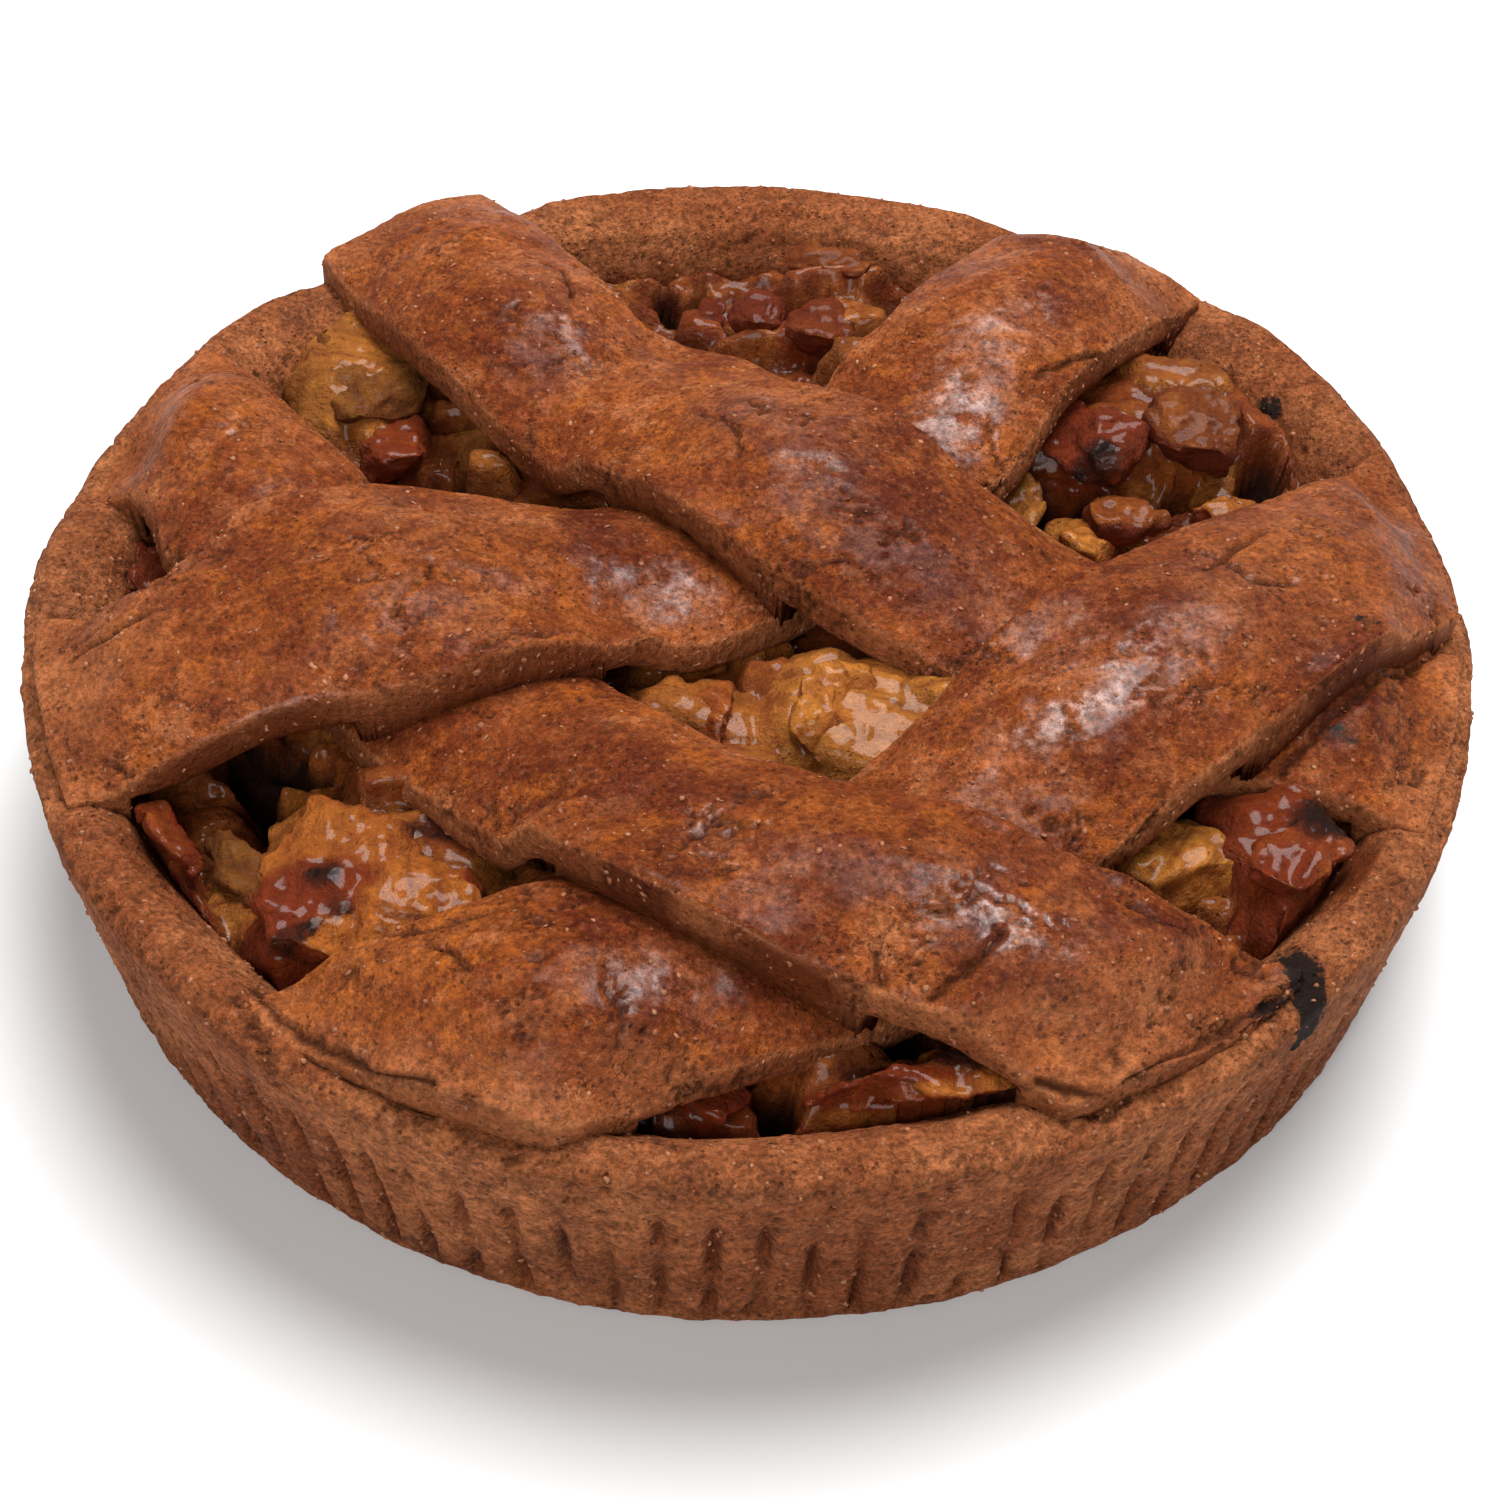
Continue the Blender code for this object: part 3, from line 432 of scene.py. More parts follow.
@cache
def crumb_group():
    """Scatters small uneven grains over a surface, denser where it is more crumbly."""
    numbers = {"density": 60000.0, "smallest": 0.2, "largest": 0.7, "thickness": 1.0}
    tree, value, end = new_surface_group("Scattered crumbs", as_floats(numbers))
    spread = tree.add("GeometryNodeDistributePointsOnFaces", Mesh=value["Geometry"], Seed=7)
    tree.fill(spread, Density=tree.times(value["density"], tree.attribute("crumbly")))
    grain = tree.add("GeometryNodeMeshIcoSphere", Subdivisions=1, Radius=0.5 * MM)
    size = random_value(tree, "FLOAT", value["smallest"], value["largest"], 11)
    shape = random_value(tree, "FLOAT_VECTOR", (0.7, 0.6, 0.4), (1.4, 1.1, 0.9), 13)
    thin = tree.add("ShaderNodeCombineXYZ", X=1.0, Y=1.0, Z=value["thickness"])
    spin = random_value(tree, "FLOAT_VECTOR", (-0.5, -0.5, 0.0), (0.5, 0.5, math.tau), 17)
    turn = tree.add("FunctionNodeRotateRotation", {"rotation_space": "LOCAL"})
    turned = tree.add("FunctionNodeEulerToRotation", i0=spin)
    tree.fill(turn, i0=spread.outputs["Rotation"], i1=turned)
    placed = tree.add("GeometryNodeInstanceOnPoints", Points=spread.outputs["Points"])
    scale = tree.scaled(tree.vector("MULTIPLY", shape, thin), size)
    tree.fill(placed, Instance=grain.outputs["Mesh"], Scale=scale, Rotation=turn)
    real = tree.add("GeometryNodeRealizeInstances", Geometry=placed)
    jitter = tree.sway(tree.add("GeometryNodeInputPosition"), 1600.0, 0.0004)
    moved = tree.add("GeometryNodeSetPosition", Geometry=real, Offset=jitter)
    tree.fill(end, i0=tree.add("GeometryNodeSetMaterial", i0=moved, Material=value["Material"]))
    return tree.tree


def apply_group(obj, group, values):
    """Runs a Geometry Nodes group on a piece and keeps the plain mesh that comes out."""
    modifier = obj.modifiers.new("group", "NODES")
    modifier.node_group = group
    sockets = {s.name: s.identifier for s in group.interface.items_tree if s.in_out == "INPUT"}
    for label, value in values.items():
        modifier[sockets[label]] = value
    keep_evaluated(obj)


def add_relief(obj, material, shift=(0.0, 0.0, 0.0), crack_share=0.3, fibre_turn=0.0, **kinds):
    """Gives a piece its relief, with the size and height of each kind that is its own."""
    values = {"Material": material, "shift": shift}
    values |= {"crack share": crack_share, "fibre turn": fibre_turn}
    for kind, (size, height) in kinds.items():
        values |= {kind + " size": size, kind + " height": height}
    apply_group(obj, relief_group(), values)


def keep_evaluated(obj):
    graph = bpy.context.evaluated_depsgraph_get()
    mesh = bpy.data.meshes.new_from_object(obj.evaluated_get(graph))
    obj.modifiers.clear()
    old = obj.data
    obj.data = mesh
    bpy.data.meshes.remove(old)


# Shader groups and materials


@cache
def mottle_group():
    """Uneven baking: patches, grit, specks, pale grains, pores, and a height in millimetres."""
    labels = ("Broad", "Medium", "Fine", "Grit", "Specks", "Pale", "Pores", "Crackle", "Height")
    inputs = [("Place", "NodeSocketVector", None)]
    inputs += as_floats({"Broad Size": 20.0, "Medium Size": 5.0, "Roughness": 1.0})
    outputs = [(label, "NodeSocketFloat") for label in labels]
    tree, value, end = new_group("Baked mottling", "ShaderNodeTree", inputs, outputs)
    place = value["Place"]
    shifted = tree.vector("ADD", place, (0.07, 0.11, 0.02))
    fine = tree.noise(place, 1.4, 5.0, 0.75)
    grit = tree.noise(place, 0.75, 4.0, 0.75)
    fine_share = tree.step(fine, 0.40, 0.62)
    grit_share = tree.times(tree.step(grit, 0.38, 0.62), 0.62)
    dots = tree.step(tree.cells(place, 1.7), 0.30, 0.12)
    pores = tree.step(tree.cells(shifted, 1.25), 0.26, 0.10)
    pores = tree.times(pores, tree.step(tree.noise(shifted, 3.4), 0.44, 0.58))
    bent = tree.vector("ADD", place, tree.sway(place, 420.0, 0.008, 4.0))
    lines = tree.step(tree.cells(bent, 7.0, "DISTANCE_TO_EDGE"), 0.035, 0.0)
    crackle = tree.times(lines, tree.step(tree.noise(shifted, 16.0), 0.53, 0.62))
    rise = tree.fit(tree.noise(place, 3.2, 2.0), 0.9, fine)
    rise = tree.fit(grit, 0.42, rise)
    rise = tree.fit(pores, -0.35, rise)
    tree.fill(
        end,
        Broad=tree.step(tree.noise(place, value["Broad Size"], 4.0, 0.6), 0.40, 0.60),
        Medium=tree.step(tree.noise(place, value["Medium Size"], 6.0, 0.72), 0.42, 0.60),
        Fine=fine_share,
        Grit=tree.fit(fine_share, 0.38, grit_share),
        Specks=tree.times(dots, tree.step(tree.noise(place, 6.0), 0.47, 0.62)),
        Pale=tree.step(tree.noise(place, 0.95, 4.0, 0.7), 0.56, 0.64),
        Pores=pores,
        Crackle=crackle,
        Height=tree.times(rise, value["Roughness"]),
    )
    return tree.tree


def new_material(name):
    material = bpy.data.materials.new(name)
    material.use_nodes = True
    return material, Tree(material.node_tree), material.node_tree.nodes["Principled BSDF"]


def mottled_material(name, broad, medium, rough=1.0):
    """A material with its tree, its shader, the object's places and the mottling's outputs."""
    material, tree, shader = new_material(name)
    place = tree.add("ShaderNodeTexCoord").outputs["Object"]
    settings = {"node_tree": mottle_group()}
    sizes = {"Broad_Size": broad, "Medium_Size": medium, "Roughness": rough}
    mask = tree.add("ShaderNodeGroup", settings, Place=place, **sizes).outputs
    return material, tree, shader, place, mask


def add_bump(tree, shader, height):
    """Feeds a height in millimetres to the shader's normal."""
    tree.fill(shader, Normal=tree.add("ShaderNodeBump", Height=height, Strength=1.0, Distance=MM))


def gritty(tree, colour, mask, least, most):
    """The colour with the grit's light and dark grains."""
    return tree.scaled(colour, tree.most(tree.fit(mask["Grit"], most - least, least), 0.25))


def charred(tree, colour, mask):
    """The dough's colour with its burnt spots."""
    burnt = tree.step(tree.fit(mask["Fine"], 0.5, tree.attribute("char")), 0.60, 0.95)
    return tree.blend(burnt, colour, (0.024, 0.013, 0.010))


def crust_material(look):
    material, tree, shader, place, mask = mottled_material("baked_shortcrust", 26.0, 4.0, 1.7)
    bake, jam = tree.attribute("bake"), tree.attribute("jam")
    cavity = tree.most(tree.attribute("cavity"), tree.attribute("crack"))
    smoke = tree.step(tree.noise(place, 11.0, 6.0, 0.75), 0.52, 0.62)
    colour = tree.layered(
        tree.blend(mask["Broad"], look.crust_pale, look.crust_brown),
        (mask["Medium"], 0.45, look.crust_dark),
        # Baked colour, with painted shade in the grooves and on the rim's inner face and painted
        # light at the back
        (bake, 0.85, look.crust_dark),
        (smoke, tree.fit(bake, 0.6, 0.25), look.crust_smoke),
        (mask["Pale"], 0.30, look.crumb_pale),
    )
    colour = tree.layered(
        gritty(tree, colour, mask, 0.50, 1.52),
        (mask["Specks"], 0.55, (0.07, 0.014, 0.006)),
        (mask["Pores"], 0.6, (0.055, 0.014, 0.007)),
        # Painted shade in the relief's pores, cracks and creases
        (cavity, 0.8, (0.040, 0.011, 0.005)),
        (jam, 0.9, look.sauce_dark),
    )
    rough = tree.most(tree.fit(jam, -0.45, 0.78), 0.25)
    tree.fill(shader, Base_Color=charred(tree, colour, mask), Roughness=rough)
    tree.fill(shader, Specular_IOR_Level=0.10)
    add_bump(tree, shader, mask["Height"])
    return material


def strip_material(look):
    material, tree, shader, place, mask = mottled_material("glazed_shortcrust", 14.0, 3.2, 1.25)
    bake, jam = tree.attribute("bake"), tree.attribute("jam")
    cavity = tree.most(tree.attribute("cavity"), tree.attribute("crack"))
    thick = tree.step(tree.noise(place, 9.0, 5.0, 0.68), 0.50, 0.58)
    orange = tree.most(tree.attribute("wash"), tree.times(thick, 0.65))
    # Dark baked egg wash, with painted shade on the strips' sides
    dark = tree.fit(mask["Medium"], 0.45, tree.times(bake, 0.8))
    blotch = tree.step(tree.noise(place, 2.2, 6.0, 0.8), 0.52, 0.66)
    stain = tree.step(tree.noise(place, 5.5, 6.0, 0.72), 0.53, 0.59)
    glossy = tree.layered(
        tree.blend(mask["Broad"], look.glaze_light, look.glaze_brown),
        (orange, tree.fit(mask["Medium"], -0.35, 1.0), look.glaze_orange),
        (tree.math("MINIMUM", dark, 0.95), 1.0, look.glaze_dark),
        (blotch, 0.38, (0.13, 0.026, 0.008)),
        (stain, 0.50, (0.16, 0.026, 0.007)),
    )
    shifted = tree.vector("ADD", place, (0.05, 0.02, 0.09))
    dry = tree.step(tree.noise(shifted, 7.5, 6.0, 0.75), 0.54, 0.60)
    dry = tree.most(tree.times(dry, tree.math("SUBTRACT", 1.0, bake)), tree.attribute("dry"))
    glaze = tree.times(tree.attribute("glaze"), tree.fit(dry, -0.6, 1.0))
    matte = tree.blend(mask["Broad"], look.crust_pale, look.crust_brown)
    shade = tree.step(tree.fit(glaze, 0.5, tree.times(bake, -0.5)), 0.0, -0.4)
    colour = tree.layered(
        tree.blend(glaze, matte, glossy),
        (shade, 1.0, look.crust_dark),
        (mask["Pale"], 0.22, look.crumb_pale),
    )
    colour = tree.layered(
        gritty(tree, colour, mask, 0.60, 1.40),
        (mask["Specks"], 0.65, (0.06, 0.008, 0.003)),
        (mask["Crackle"], 0.7, (0.05, 0.010, 0.004)),
        (mask["Pores"], 0.45, (0.055, 0.012, 0.005)),
        # Painted shade in the relief's pores, cracks and creases, and in the syrup colour where the
        # strips touch
        (cavity, 0.8, (0.045, 0.012, 0.005)),
        (jam, 0.85, look.sauce_dark),
    )
    shine = tree.times(tree.most(glaze, jam), tree.fit(mask["Medium"], -0.25, 1.0))
    coat = tree.step(tree.noise(place, 6.0, 6.0, 0.75), 0.38, 0.56)
    coat = tree.times(coat, tree.fit(tree.attribute("gloss"), 1.25, 0.13))
    coat = tree.math("ADD", tree.times(coat, tree.fit(mask["Fine"], 0.6, 0.4)), 0.03)
    coat = tree.times(tree.times(coat, shine), tree.math("SUBTRACT", 1.0, cavity))
    rough = tree.fit(mask["Fine"], 0.10, tree.fit(shine, -0.36, 0.70))
    tree.fill(shader, Base_Color=charred(tree, colour, mask), Roughness=rough)
    tree.fill(shader, Coat_Weight=coat, Coat_Roughness=0.26, Specular_IOR_Level=0.12)
    add_bump(tree, shader, mask["Height"])
    return material


def apple_material(name, first, second, subsurface):
    """Cooked apple or its sauce, between two colours, with its fibres, stains and scorching."""
    material, tree, shader, _, mask = mottled_material(name, 8.0, 3.4, 1.3)
    look = bpy.context.scene.pie_colours
    char, depth = tree.attribute("char"), tree.attribute("depth")
    light = tree.times(tree.attribute("pale"), tree.fit(mask["Medium"], -0.22, 1.05))
    stain = tree.fit(mask["Medium"], 0.22, tree.times(tree.attribute("red"), 1.35))
    base = tree.layered(
        tree.blend(mask["Broad"], first, second),
        (tree.math("MINIMUM", light, 1.0), 1.0, look.apple_pale),
        (tree.step(stain, 0.40, 1.30), 1.0, look.apple_red),
    )
    fibres = tree.add("ShaderNodeAttribute", {"attribute_name": "streak"}).outputs["Vector"]
    streak = tree.noise(fibres, 1.7, 4.0, 0.65)
    shade = tree.fit(streak, 1.4, tree.fit(mask["Grit"], 0.4, 0.1))
    burnt = tree.step(tree.fit(mask["Fine"], 0.45, char), 0.80, 1.20)
    base = tree.layered(
        tree.scaled(base, tree.most(shade, 0.3)),
        (tree.step(streak, 0.44, 0.34), 0.45, look.apple_red),
        (mask["Specks"], 0.35, (0.09, 0.012, 0.003)),
        (tree.step(tree.fit(mask["Fine"], 0.30, char), 0.30, 0.85), 1.0, (0.055, 0.010, 0.003)),
        (burnt, 1.0, (0.016, 0.006, 0.004)),
        # Painted shade: darker red in the creases, and near black where the filling lies low, in
        # its pits and in shaded lumps
        (tree.attribute("cavity"), 0.7, look.apple_red),
        (depth, 1.0, (0.004, 0.002, 0.0015)),
    )
    wet = tree.most(tree.fit(depth, -0.4, 0.26), 0.0)
    wet = tree.times(wet, tree.fit(burnt, -0.7, 1.0))
    rough = tree.fit(depth, 0.55, tree.fit(mask["Medium"], 0.20, 0.30))
    tree.fill(shader, Base_Color=base, Roughness=rough, Coat_Weight=wet, Coat_Roughness=0.14)
    tree.fill(shader, Specular_IOR_Level=0.15, Subsurface_Weight=subsurface)
    tree.fill(shader, Subsurface_Radius=(1.0, 0.40, 0.12), Subsurface_Scale=0.002)
    add_bump(tree, shader, tree.fit(streak, 0.5, mask["Height"]))
    return material


def crumb_material(look):
    material, tree, shader, _, mask = mottled_material("dry_crumb", 12.0, 2.0)
    colour = tree.blend(mask["Medium"], look.crumb_pale, look.crust_brown)
    colour = tree.layered(colour, (mask["Broad"], 0.5, look.crust_dark))
    tree.fill(shader, Base_Color=colour, Roughness=0.8)
    add_bump(tree, shader, tree.times(mask["Height"], 0.5))
    return material


# Tools for meshes


def read_vectors(items, name):
    flat = np.empty(len(items) * 3, np.float32)
    items.foreach_get(name, flat)
    return flat.reshape(-1, 3).astype(float)


def points_of(mesh):
    """A mesh's points in millimetres."""
    return read_vectors(mesh.vertices, "co") / MM


def normals_of(mesh):
    return read_vectors(mesh.vertex_normals, "vector")


def set_points(mesh, points):
    mesh.vertices.foreach_set("co", (points * MM).astype(np.float32).ravel())
    mesh.update()


def set_masks(mesh, **masks):
    """Stores values for the materials and the relief at a mesh's points."""
    for name, values in masks.items():
        found = mesh.attributes.get(name) or mesh.attributes.new(name, "FLOAT", "POINT")
        found.data.foreach_set("value", np.clip(values, 0, 2).astype(np.float32))


def turned(x, y, angle):
    """Places as seen along and across a direction."""
    return x * np.cos(angle) + y * np.sin(angle), y * np.cos(angle) - x * np.sin(angle)


def set_streaks(mesh, x, y, z, angle):
    """Stores places stretched along the fibres of the apple, for its streaks."""
    along, across = turned(x, y, angle)
    places = np.column_stack([along * 0.12, across, z * 0.5]) * MM
    found = mesh.attributes.new("streak", "FLOAT_VECTOR", "POINT")
    found.data.foreach_set("vector", places.astype(np.float32).ravel())


def smooth(value, low, high):
    share = np.clip((value - low) / (high - low), 0, 1)
    return share * share * (3 - 2 * share)


def bumps(x, y, size, seed):
    """Smooth lumps from -1 to 1, for shapes that follow no attribute."""
    value = np.zeros(np.shape(x))
    for k, stretch in enumerate((1.0, 0.83, 1.31, 1.57, 2.2)):
        along = turned(x, y, 2.4 * k + seed)[0]
        value += np.sin(along * math.pi * stretch / size + seed + k)
    return value / 3.4


def patches(x, y, table):
    """How strongly each place lies in the patches of a table, from 0."""
    found = np.zeros(np.shape(x))
    for patch_x, patch_y, long, broad, turn, strength in table:
        along, aside = turned(x - patch_x, y - patch_y, math.radians(turn))
        away = (along / long) ** 2 + (aside / broad) ** 2
        found = np.maximum(found, strength * np.exp(-(away**1.5)))
    return found


def crack_share(x, y):
    """How near each place lies to a crack: 1 in its middle, 0 beside it."""
    place_x = x + 0.45 * bumps(x, y, 2.6, 1.1)
    place_y = y + 0.45 * bumps(x, y, 2.6, 4.3)
    found = np.zeros(np.shape(x))
    for points in CRACK_LINES:
        for (ax, ay), (bx, by) in zip(points, points[1:]):
            run_x, run_y = bx - ax, by - ay
            share = ((place_x - ax) * run_x + (place_y - ay) * run_y) / (run_x**2 + run_y**2)
            share = np.clip(share, 0, 1)
            away = np.hypot(place_x - ax - share * run_x, place_y - ay - share * run_y)
            found = np.maximum(found, 1 - away / CRACK_WIDTH)
    return smooth(found, 0.0, 0.8)


def node_shape(*names):
    """The mesh of CAD nodes as a bmesh with its points merged."""
    shape = bmesh.new()
    for name in names:
        shape.from_mesh(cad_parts[name].data)
    bmesh.ops.remove_doubles(shape, verts=shape.verts, dist=1e-6)
    return shape


@cache
def surface(*names):
    """One ray-casting tree of CAD nodes."""
    shape = node_shape(*names)
    tree = BVHTree.FromBMesh(shape)
    shape.free()
    return tree


def cast(tree, starts, ways):
    """Where rays meet a surface, in millimetres. A ray that meets nothing gives NaN."""
    found = np.full(starts.shape, np.nan)
    for k, (start, way) in enumerate(zip(starts, ways)):
        hit = tree.ray_cast(Vector(start) * MM, Vector(way), RAY_REACH * MM)[0]
        if hit is not None:
            found[k] = np.array(hit) / MM
    return found


def drop(tree, x, y, height):
    """The height of what lies straight below each place, or NaN where nothing does."""
    starts = np.column_stack([x, y, np.broadcast_to(height, np.shape(x))])
    return cast(tree, starts, np.tile([0.0, 0.0, -1.0], (len(x), 1)))[:, 2]


def new_object(name, data):
    obj = bpy.data.objects.new(name, data)
    bpy.context.scene.collection.objects.link(obj)
    return obj


def new_mesh(name, points, faces):
    mesh = bpy.data.meshes.new(name)
    mesh.from_pydata([tuple(p) for p in np.asarray(points) * MM], [], faces)
    mesh.validate()
    return mesh


def shape_mesh(name, shape):
    """Turns a bmesh into a mesh and frees it."""
    mesh = bpy.data.meshes.new(name)
    shape.to_mesh(mesh)
    shape.free()
    return mesh


def soften(obj, times):
    """Evens out the points of a mesh."""
    modifier = obj.modifiers.new("soften", "SMOOTH")
    modifier.factor = 0.5
    modifier.iterations = times
    keep_evaluated(obj)


def voxel_piece(node, label, voxel, rounded):
    """A CAD node as a piece with evenly spaced points, its edges rounded if asked."""
    shape = node_shape(node)
    bmesh.ops.recalc_face_normals(shape, faces=shape.faces)
    angles = {"angle_face_threshold": 0.7, "angle_shape_threshold": 1.2}
    bmesh.ops.join_triangles(shape, faces=shape.faces, **angles)
    if rounded:
        crease = shape.edges.layers.float.new("crease_edge")
        for edge in shape.edges:
            if len(edge.link_faces) == 2 and edge.calc_face_angle() > 0.55:
                edge[crease] = 0.75
    obj = new_object(label, shape_mesh(label, shape))
    if rounded:
        subdivide = obj.modifiers.new("round", "SUBSURF")
        subdivide.levels = subdivide.render_levels = 2
    remesh = obj.modifiers.new("even", "REMESH")
    remesh.mode = "VOXEL"
    remesh.voxel_size = voxel
    keep_evaluated(obj)
    soften(obj, 3)
    return obj


def keep_above_table(mesh):
    points = points_of(mesh)
    points[:, 2] = np.maximum(points[:, 2], 0.0)
    set_points(mesh, points)


def finish_piece(obj, nodes=()):
    obj.data.shade_smooth()
    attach(obj, "root")
    if nodes:
        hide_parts(*nodes)


# Sizes and colours that a user may change


class PieSizes(bpy.types.PropertyGroup):
    """Sizes of the pie's surface detail"""

    flutes: IntProperty(name="Flutes", description="Flutes round the wall", default=104, min=8)
    flute_depth: FloatProperty(
        name="Flute depth", description="Depth of the wall's flutes in mm", default=1.55
    )
    voxel: FloatProperty(
        name="Dough detail",
        description="Spacing of the points on the strips",
        default=0.00056,
        unit="LENGTH",
    )
    fill_step: FloatProperty(
        name="Filling detail", description="Spacing of the filling's points in mm", default=0.62
    )
    crumb_density: FloatProperty(
        name="Crumb density", description="Crumbs on a square metre of crust", default=90000.0
    )
    flake_density: FloatProperty(
        name="Flake density", description="Flakes on a square metre of strip", default=260000.0
    )


COLOURS = {
    "crust_pale": ("Lightest baked crust", (0.56, 0.190, 0.068)),
    "crust_brown": ("Most of the crust", (0.38, 0.110, 0.036)),
    "crust_dark": ("Well-baked crust", (0.155, 0.034, 0.011)),
    "crust_smoke": ("Purple-brown patches of crust", (0.125, 0.042, 0.024)),
    "glaze_light": ("Thin egg wash", (0.42, 0.108, 0.026)),
    "glaze_brown": ("Most of the egg wash", (0.25, 0.052, 0.011)),
    "glaze_orange": ("Thick egg wash", (0.48, 0.120, 0.014)),
    "glaze_dark": ("Well-baked egg wash", (0.11, 0.014, 0.003)),
    "apple_pale": ("Least cooked flesh", (0.60, 0.225, 0.034)),
    "apple_orange": ("Cooked flesh", (0.46, 0.120, 0.016)),
    "apple_brown": ("Caramelised flesh", (0.30, 0.066, 0.010)),
    "apple_red": ("Darkest syrup", (0.19, 0.026, 0.005)),
    "sauce_light": ("Thin syrup", (0.34, 0.090, 0.018)),
    "sauce_dark": ("Thick syrup", (0.15, 0.030, 0.006)),
    "crumb_pale": ("Lightest crumbs", (0.50, 0.215, 0.10)),
}


def colour_property(label, text, default):
    settings = {"subtype": "COLOR", "size": 3, "min": 0, "max": 1}
    return FloatVectorProperty(name=label, description=text, default=default, **settings)


class PieColours(bpy.types.PropertyGroup):
    """Colours of the dough, the glaze and the apple"""

    __annotations__ = {
        name: colour_property(name.replace("_", " ").capitalize(), text, default)
        for name, (text, default) in COLOURS.items()
    }


# The crust


WALL_ROWS = 42
RIM_ROWS = 27
INNER_ROWS = 9
SECTORS_PER_FLUTE = 10
FAN_RADIUS = 94.0
FAN_HEIGHT = 30.0
FAN_REACH = 30.0
WALL_START = 115.0
INNER_START = 60.0
CRUST_SWELL = 0.12
BASE_RADII = (24.0, 50.0, 72.0, 86.0, 94.0)
FLOOR_RADII = (80.0, 60.0)
FLOOR_HEIGHT = 6.2


def crust_rays():
    """For each row of the crust's section, where a ray starts and which way it goes, as r and z."""
    rays = []
    for k in range(WALL_ROWS):
        height = 0.05 + (FAN_HEIGHT - 0.7) * k / (WALL_ROWS - 1)
        rays.append((WALL_START, height, -1.0, 0.0))
    for k in range(RIM_ROWS):
        angle = math.pi * k / (RIM_ROWS - 1)
        way_r, way_z = math.cos(angle), math.sin(angle)
        start = FAN_RADIUS + FAN_REACH * way_r, FAN_HEIGHT + FAN_REACH * way_z
        rays.append((*start, -way_r, -way_z))
    for k in range(1, INNER_ROWS + 1):
        rays.append((INNER_START, FAN_HEIGHT - 1.3 * k, 1.0, 0.0))
    return rays


def crust_section_points(sectors):
    """Points on the CAD crust, row by row from the base's edge to inside the rim: r and z."""
    tree = surface("crust")
    angle = np.arange(sectors) * (math.tau / sectors)
    round_way = np.stack([np.cos(angle), np.sin(angle)], axis=1)
    radii, heights = [], []
    for start_r, start_z, way_r, way_z in crust_rays():
        starts = np.column_stack([round_way * start_r, np.full(sectors, start_z)])
        ways = np.column_stack([round_way * way_r, np.full(sectors, way_z)])
        found = cast(tree, starts, ways)
        radii.append(np.hypot(found[:, 0], found[:, 1]))
        heights.append(found[:, 2])
    return angle, np.array(radii), np.array(heights)


def even_out(values, width):
    """A running mean round a ring."""
    kernel = np.ones(width) / width
    padded = np.concatenate([values[:, -width:], values, values[:, :width]], axis=1)
    return np.array([np.convolve(row, kernel, "same")[width:-width] for row in padded])


def ring_noise(angle, height, waves):
    """A smooth uneven value round the pie, from sines whose counts and climbs are given."""
    value = np.zeros(np.broadcast(angle, height).shape)
    for k, (count, climb) in enumerate(waves):
        value += np.sin(angle * count + height * climb + 2.1 * k + count)
    return value / len(waves)


def flute_shape(angle, height, flutes):
    """How deep the wall's grooves are at a place, 0 on the ribs to 1 in a groove."""
    drift = 0.35 * ring_noise(angle, height, ((7, 0.05), (13, -0.03), (23, 0.04)))
    groove = np.clip(0.5 - 0.5 * np.cos(angle * flutes + drift * 3.0), 0, 1) ** 6.0
    strength = 0.95 + 0.9 * ring_noise(angle, height, ((11, 0.07), (29, -0.11), (47, 0.09)))
    strength *= 0.9 + 0.7 * ring_noise(angle, height, ((61, 0.4), (83, -0.3)))
    band = smooth(height, 1.0, 5.0) * (1 - smooth(height, 21.0, 30.0))
    return groove * np.clip(strength, 0, 1.5) * band


def crust_mesh(sizes):
    """The crust's mesh and how deep in a groove each of its points lies."""
    sectors = sizes.flutes * SECTORS_PER_FLUTE
    angle, radii, heights = crust_section_points(sectors)
    radii = even_out(radii, SECTORS_PER_FLUTE)
    heights = even_out(heights, SECTORS_PER_FLUTE)
    groove = flute_shape(angle[None, :], heights, sizes.flutes)
    outside = np.arange(len(radii))[:, None] < WALL_ROWS + RIM_ROWS // 4
    groove = np.where(outside, groove, 0.0)
    radii = radii - groove * sizes.flute_depth + CRUST_SWELL
    heights[0] = 0.0
    rows = [(np.full(sectors, radius), np.zeros(sectors)) for radius in BASE_RADII]
    rows += zip(radii, heights)
    rows += [(np.full(sectors, r), np.full(sectors, FLOOR_HEIGHT)) for r in FLOOR_RADII]
    rings = np.array([(r * np.cos(angle), r * np.sin(angle), z) for r, z in rows])
    points = rings.transpose(0, 2, 1).reshape(-1, 3)
    first, second = np.arange(sectors), np.roll(np.arange(sectors), -1)
    faces = []
    for row in range(len(rows) - 1):
        low, high = row * sectors, (row + 1) * sectors
        faces += np.stack([low + first, low + second, high + second, high + first], 1).tolist()
    last = (len(rows) - 1) * sectors
    middle = len(points)
    faces += [(j, i, middle) for i, j in zip(first.tolist(), second.tolist())]
    faces += [(last + i, last + j, middle + 1) for i, j in zip(first.tolist(), second.tolist())]
    points = np.vstack([points, [0.0, 0.0, 0.0], [0.0, 0.0, FLOOR_HEIGHT]])
    # How deep in a groove each point lies, which the crust's mask turns into painted shade
    dark = np.zeros(len(points))
    start = len(BASE_RADII) * sectors
    dark[start : start + groove.size] = groove.ravel()
    return new_mesh("pie_crust", points, faces), dark


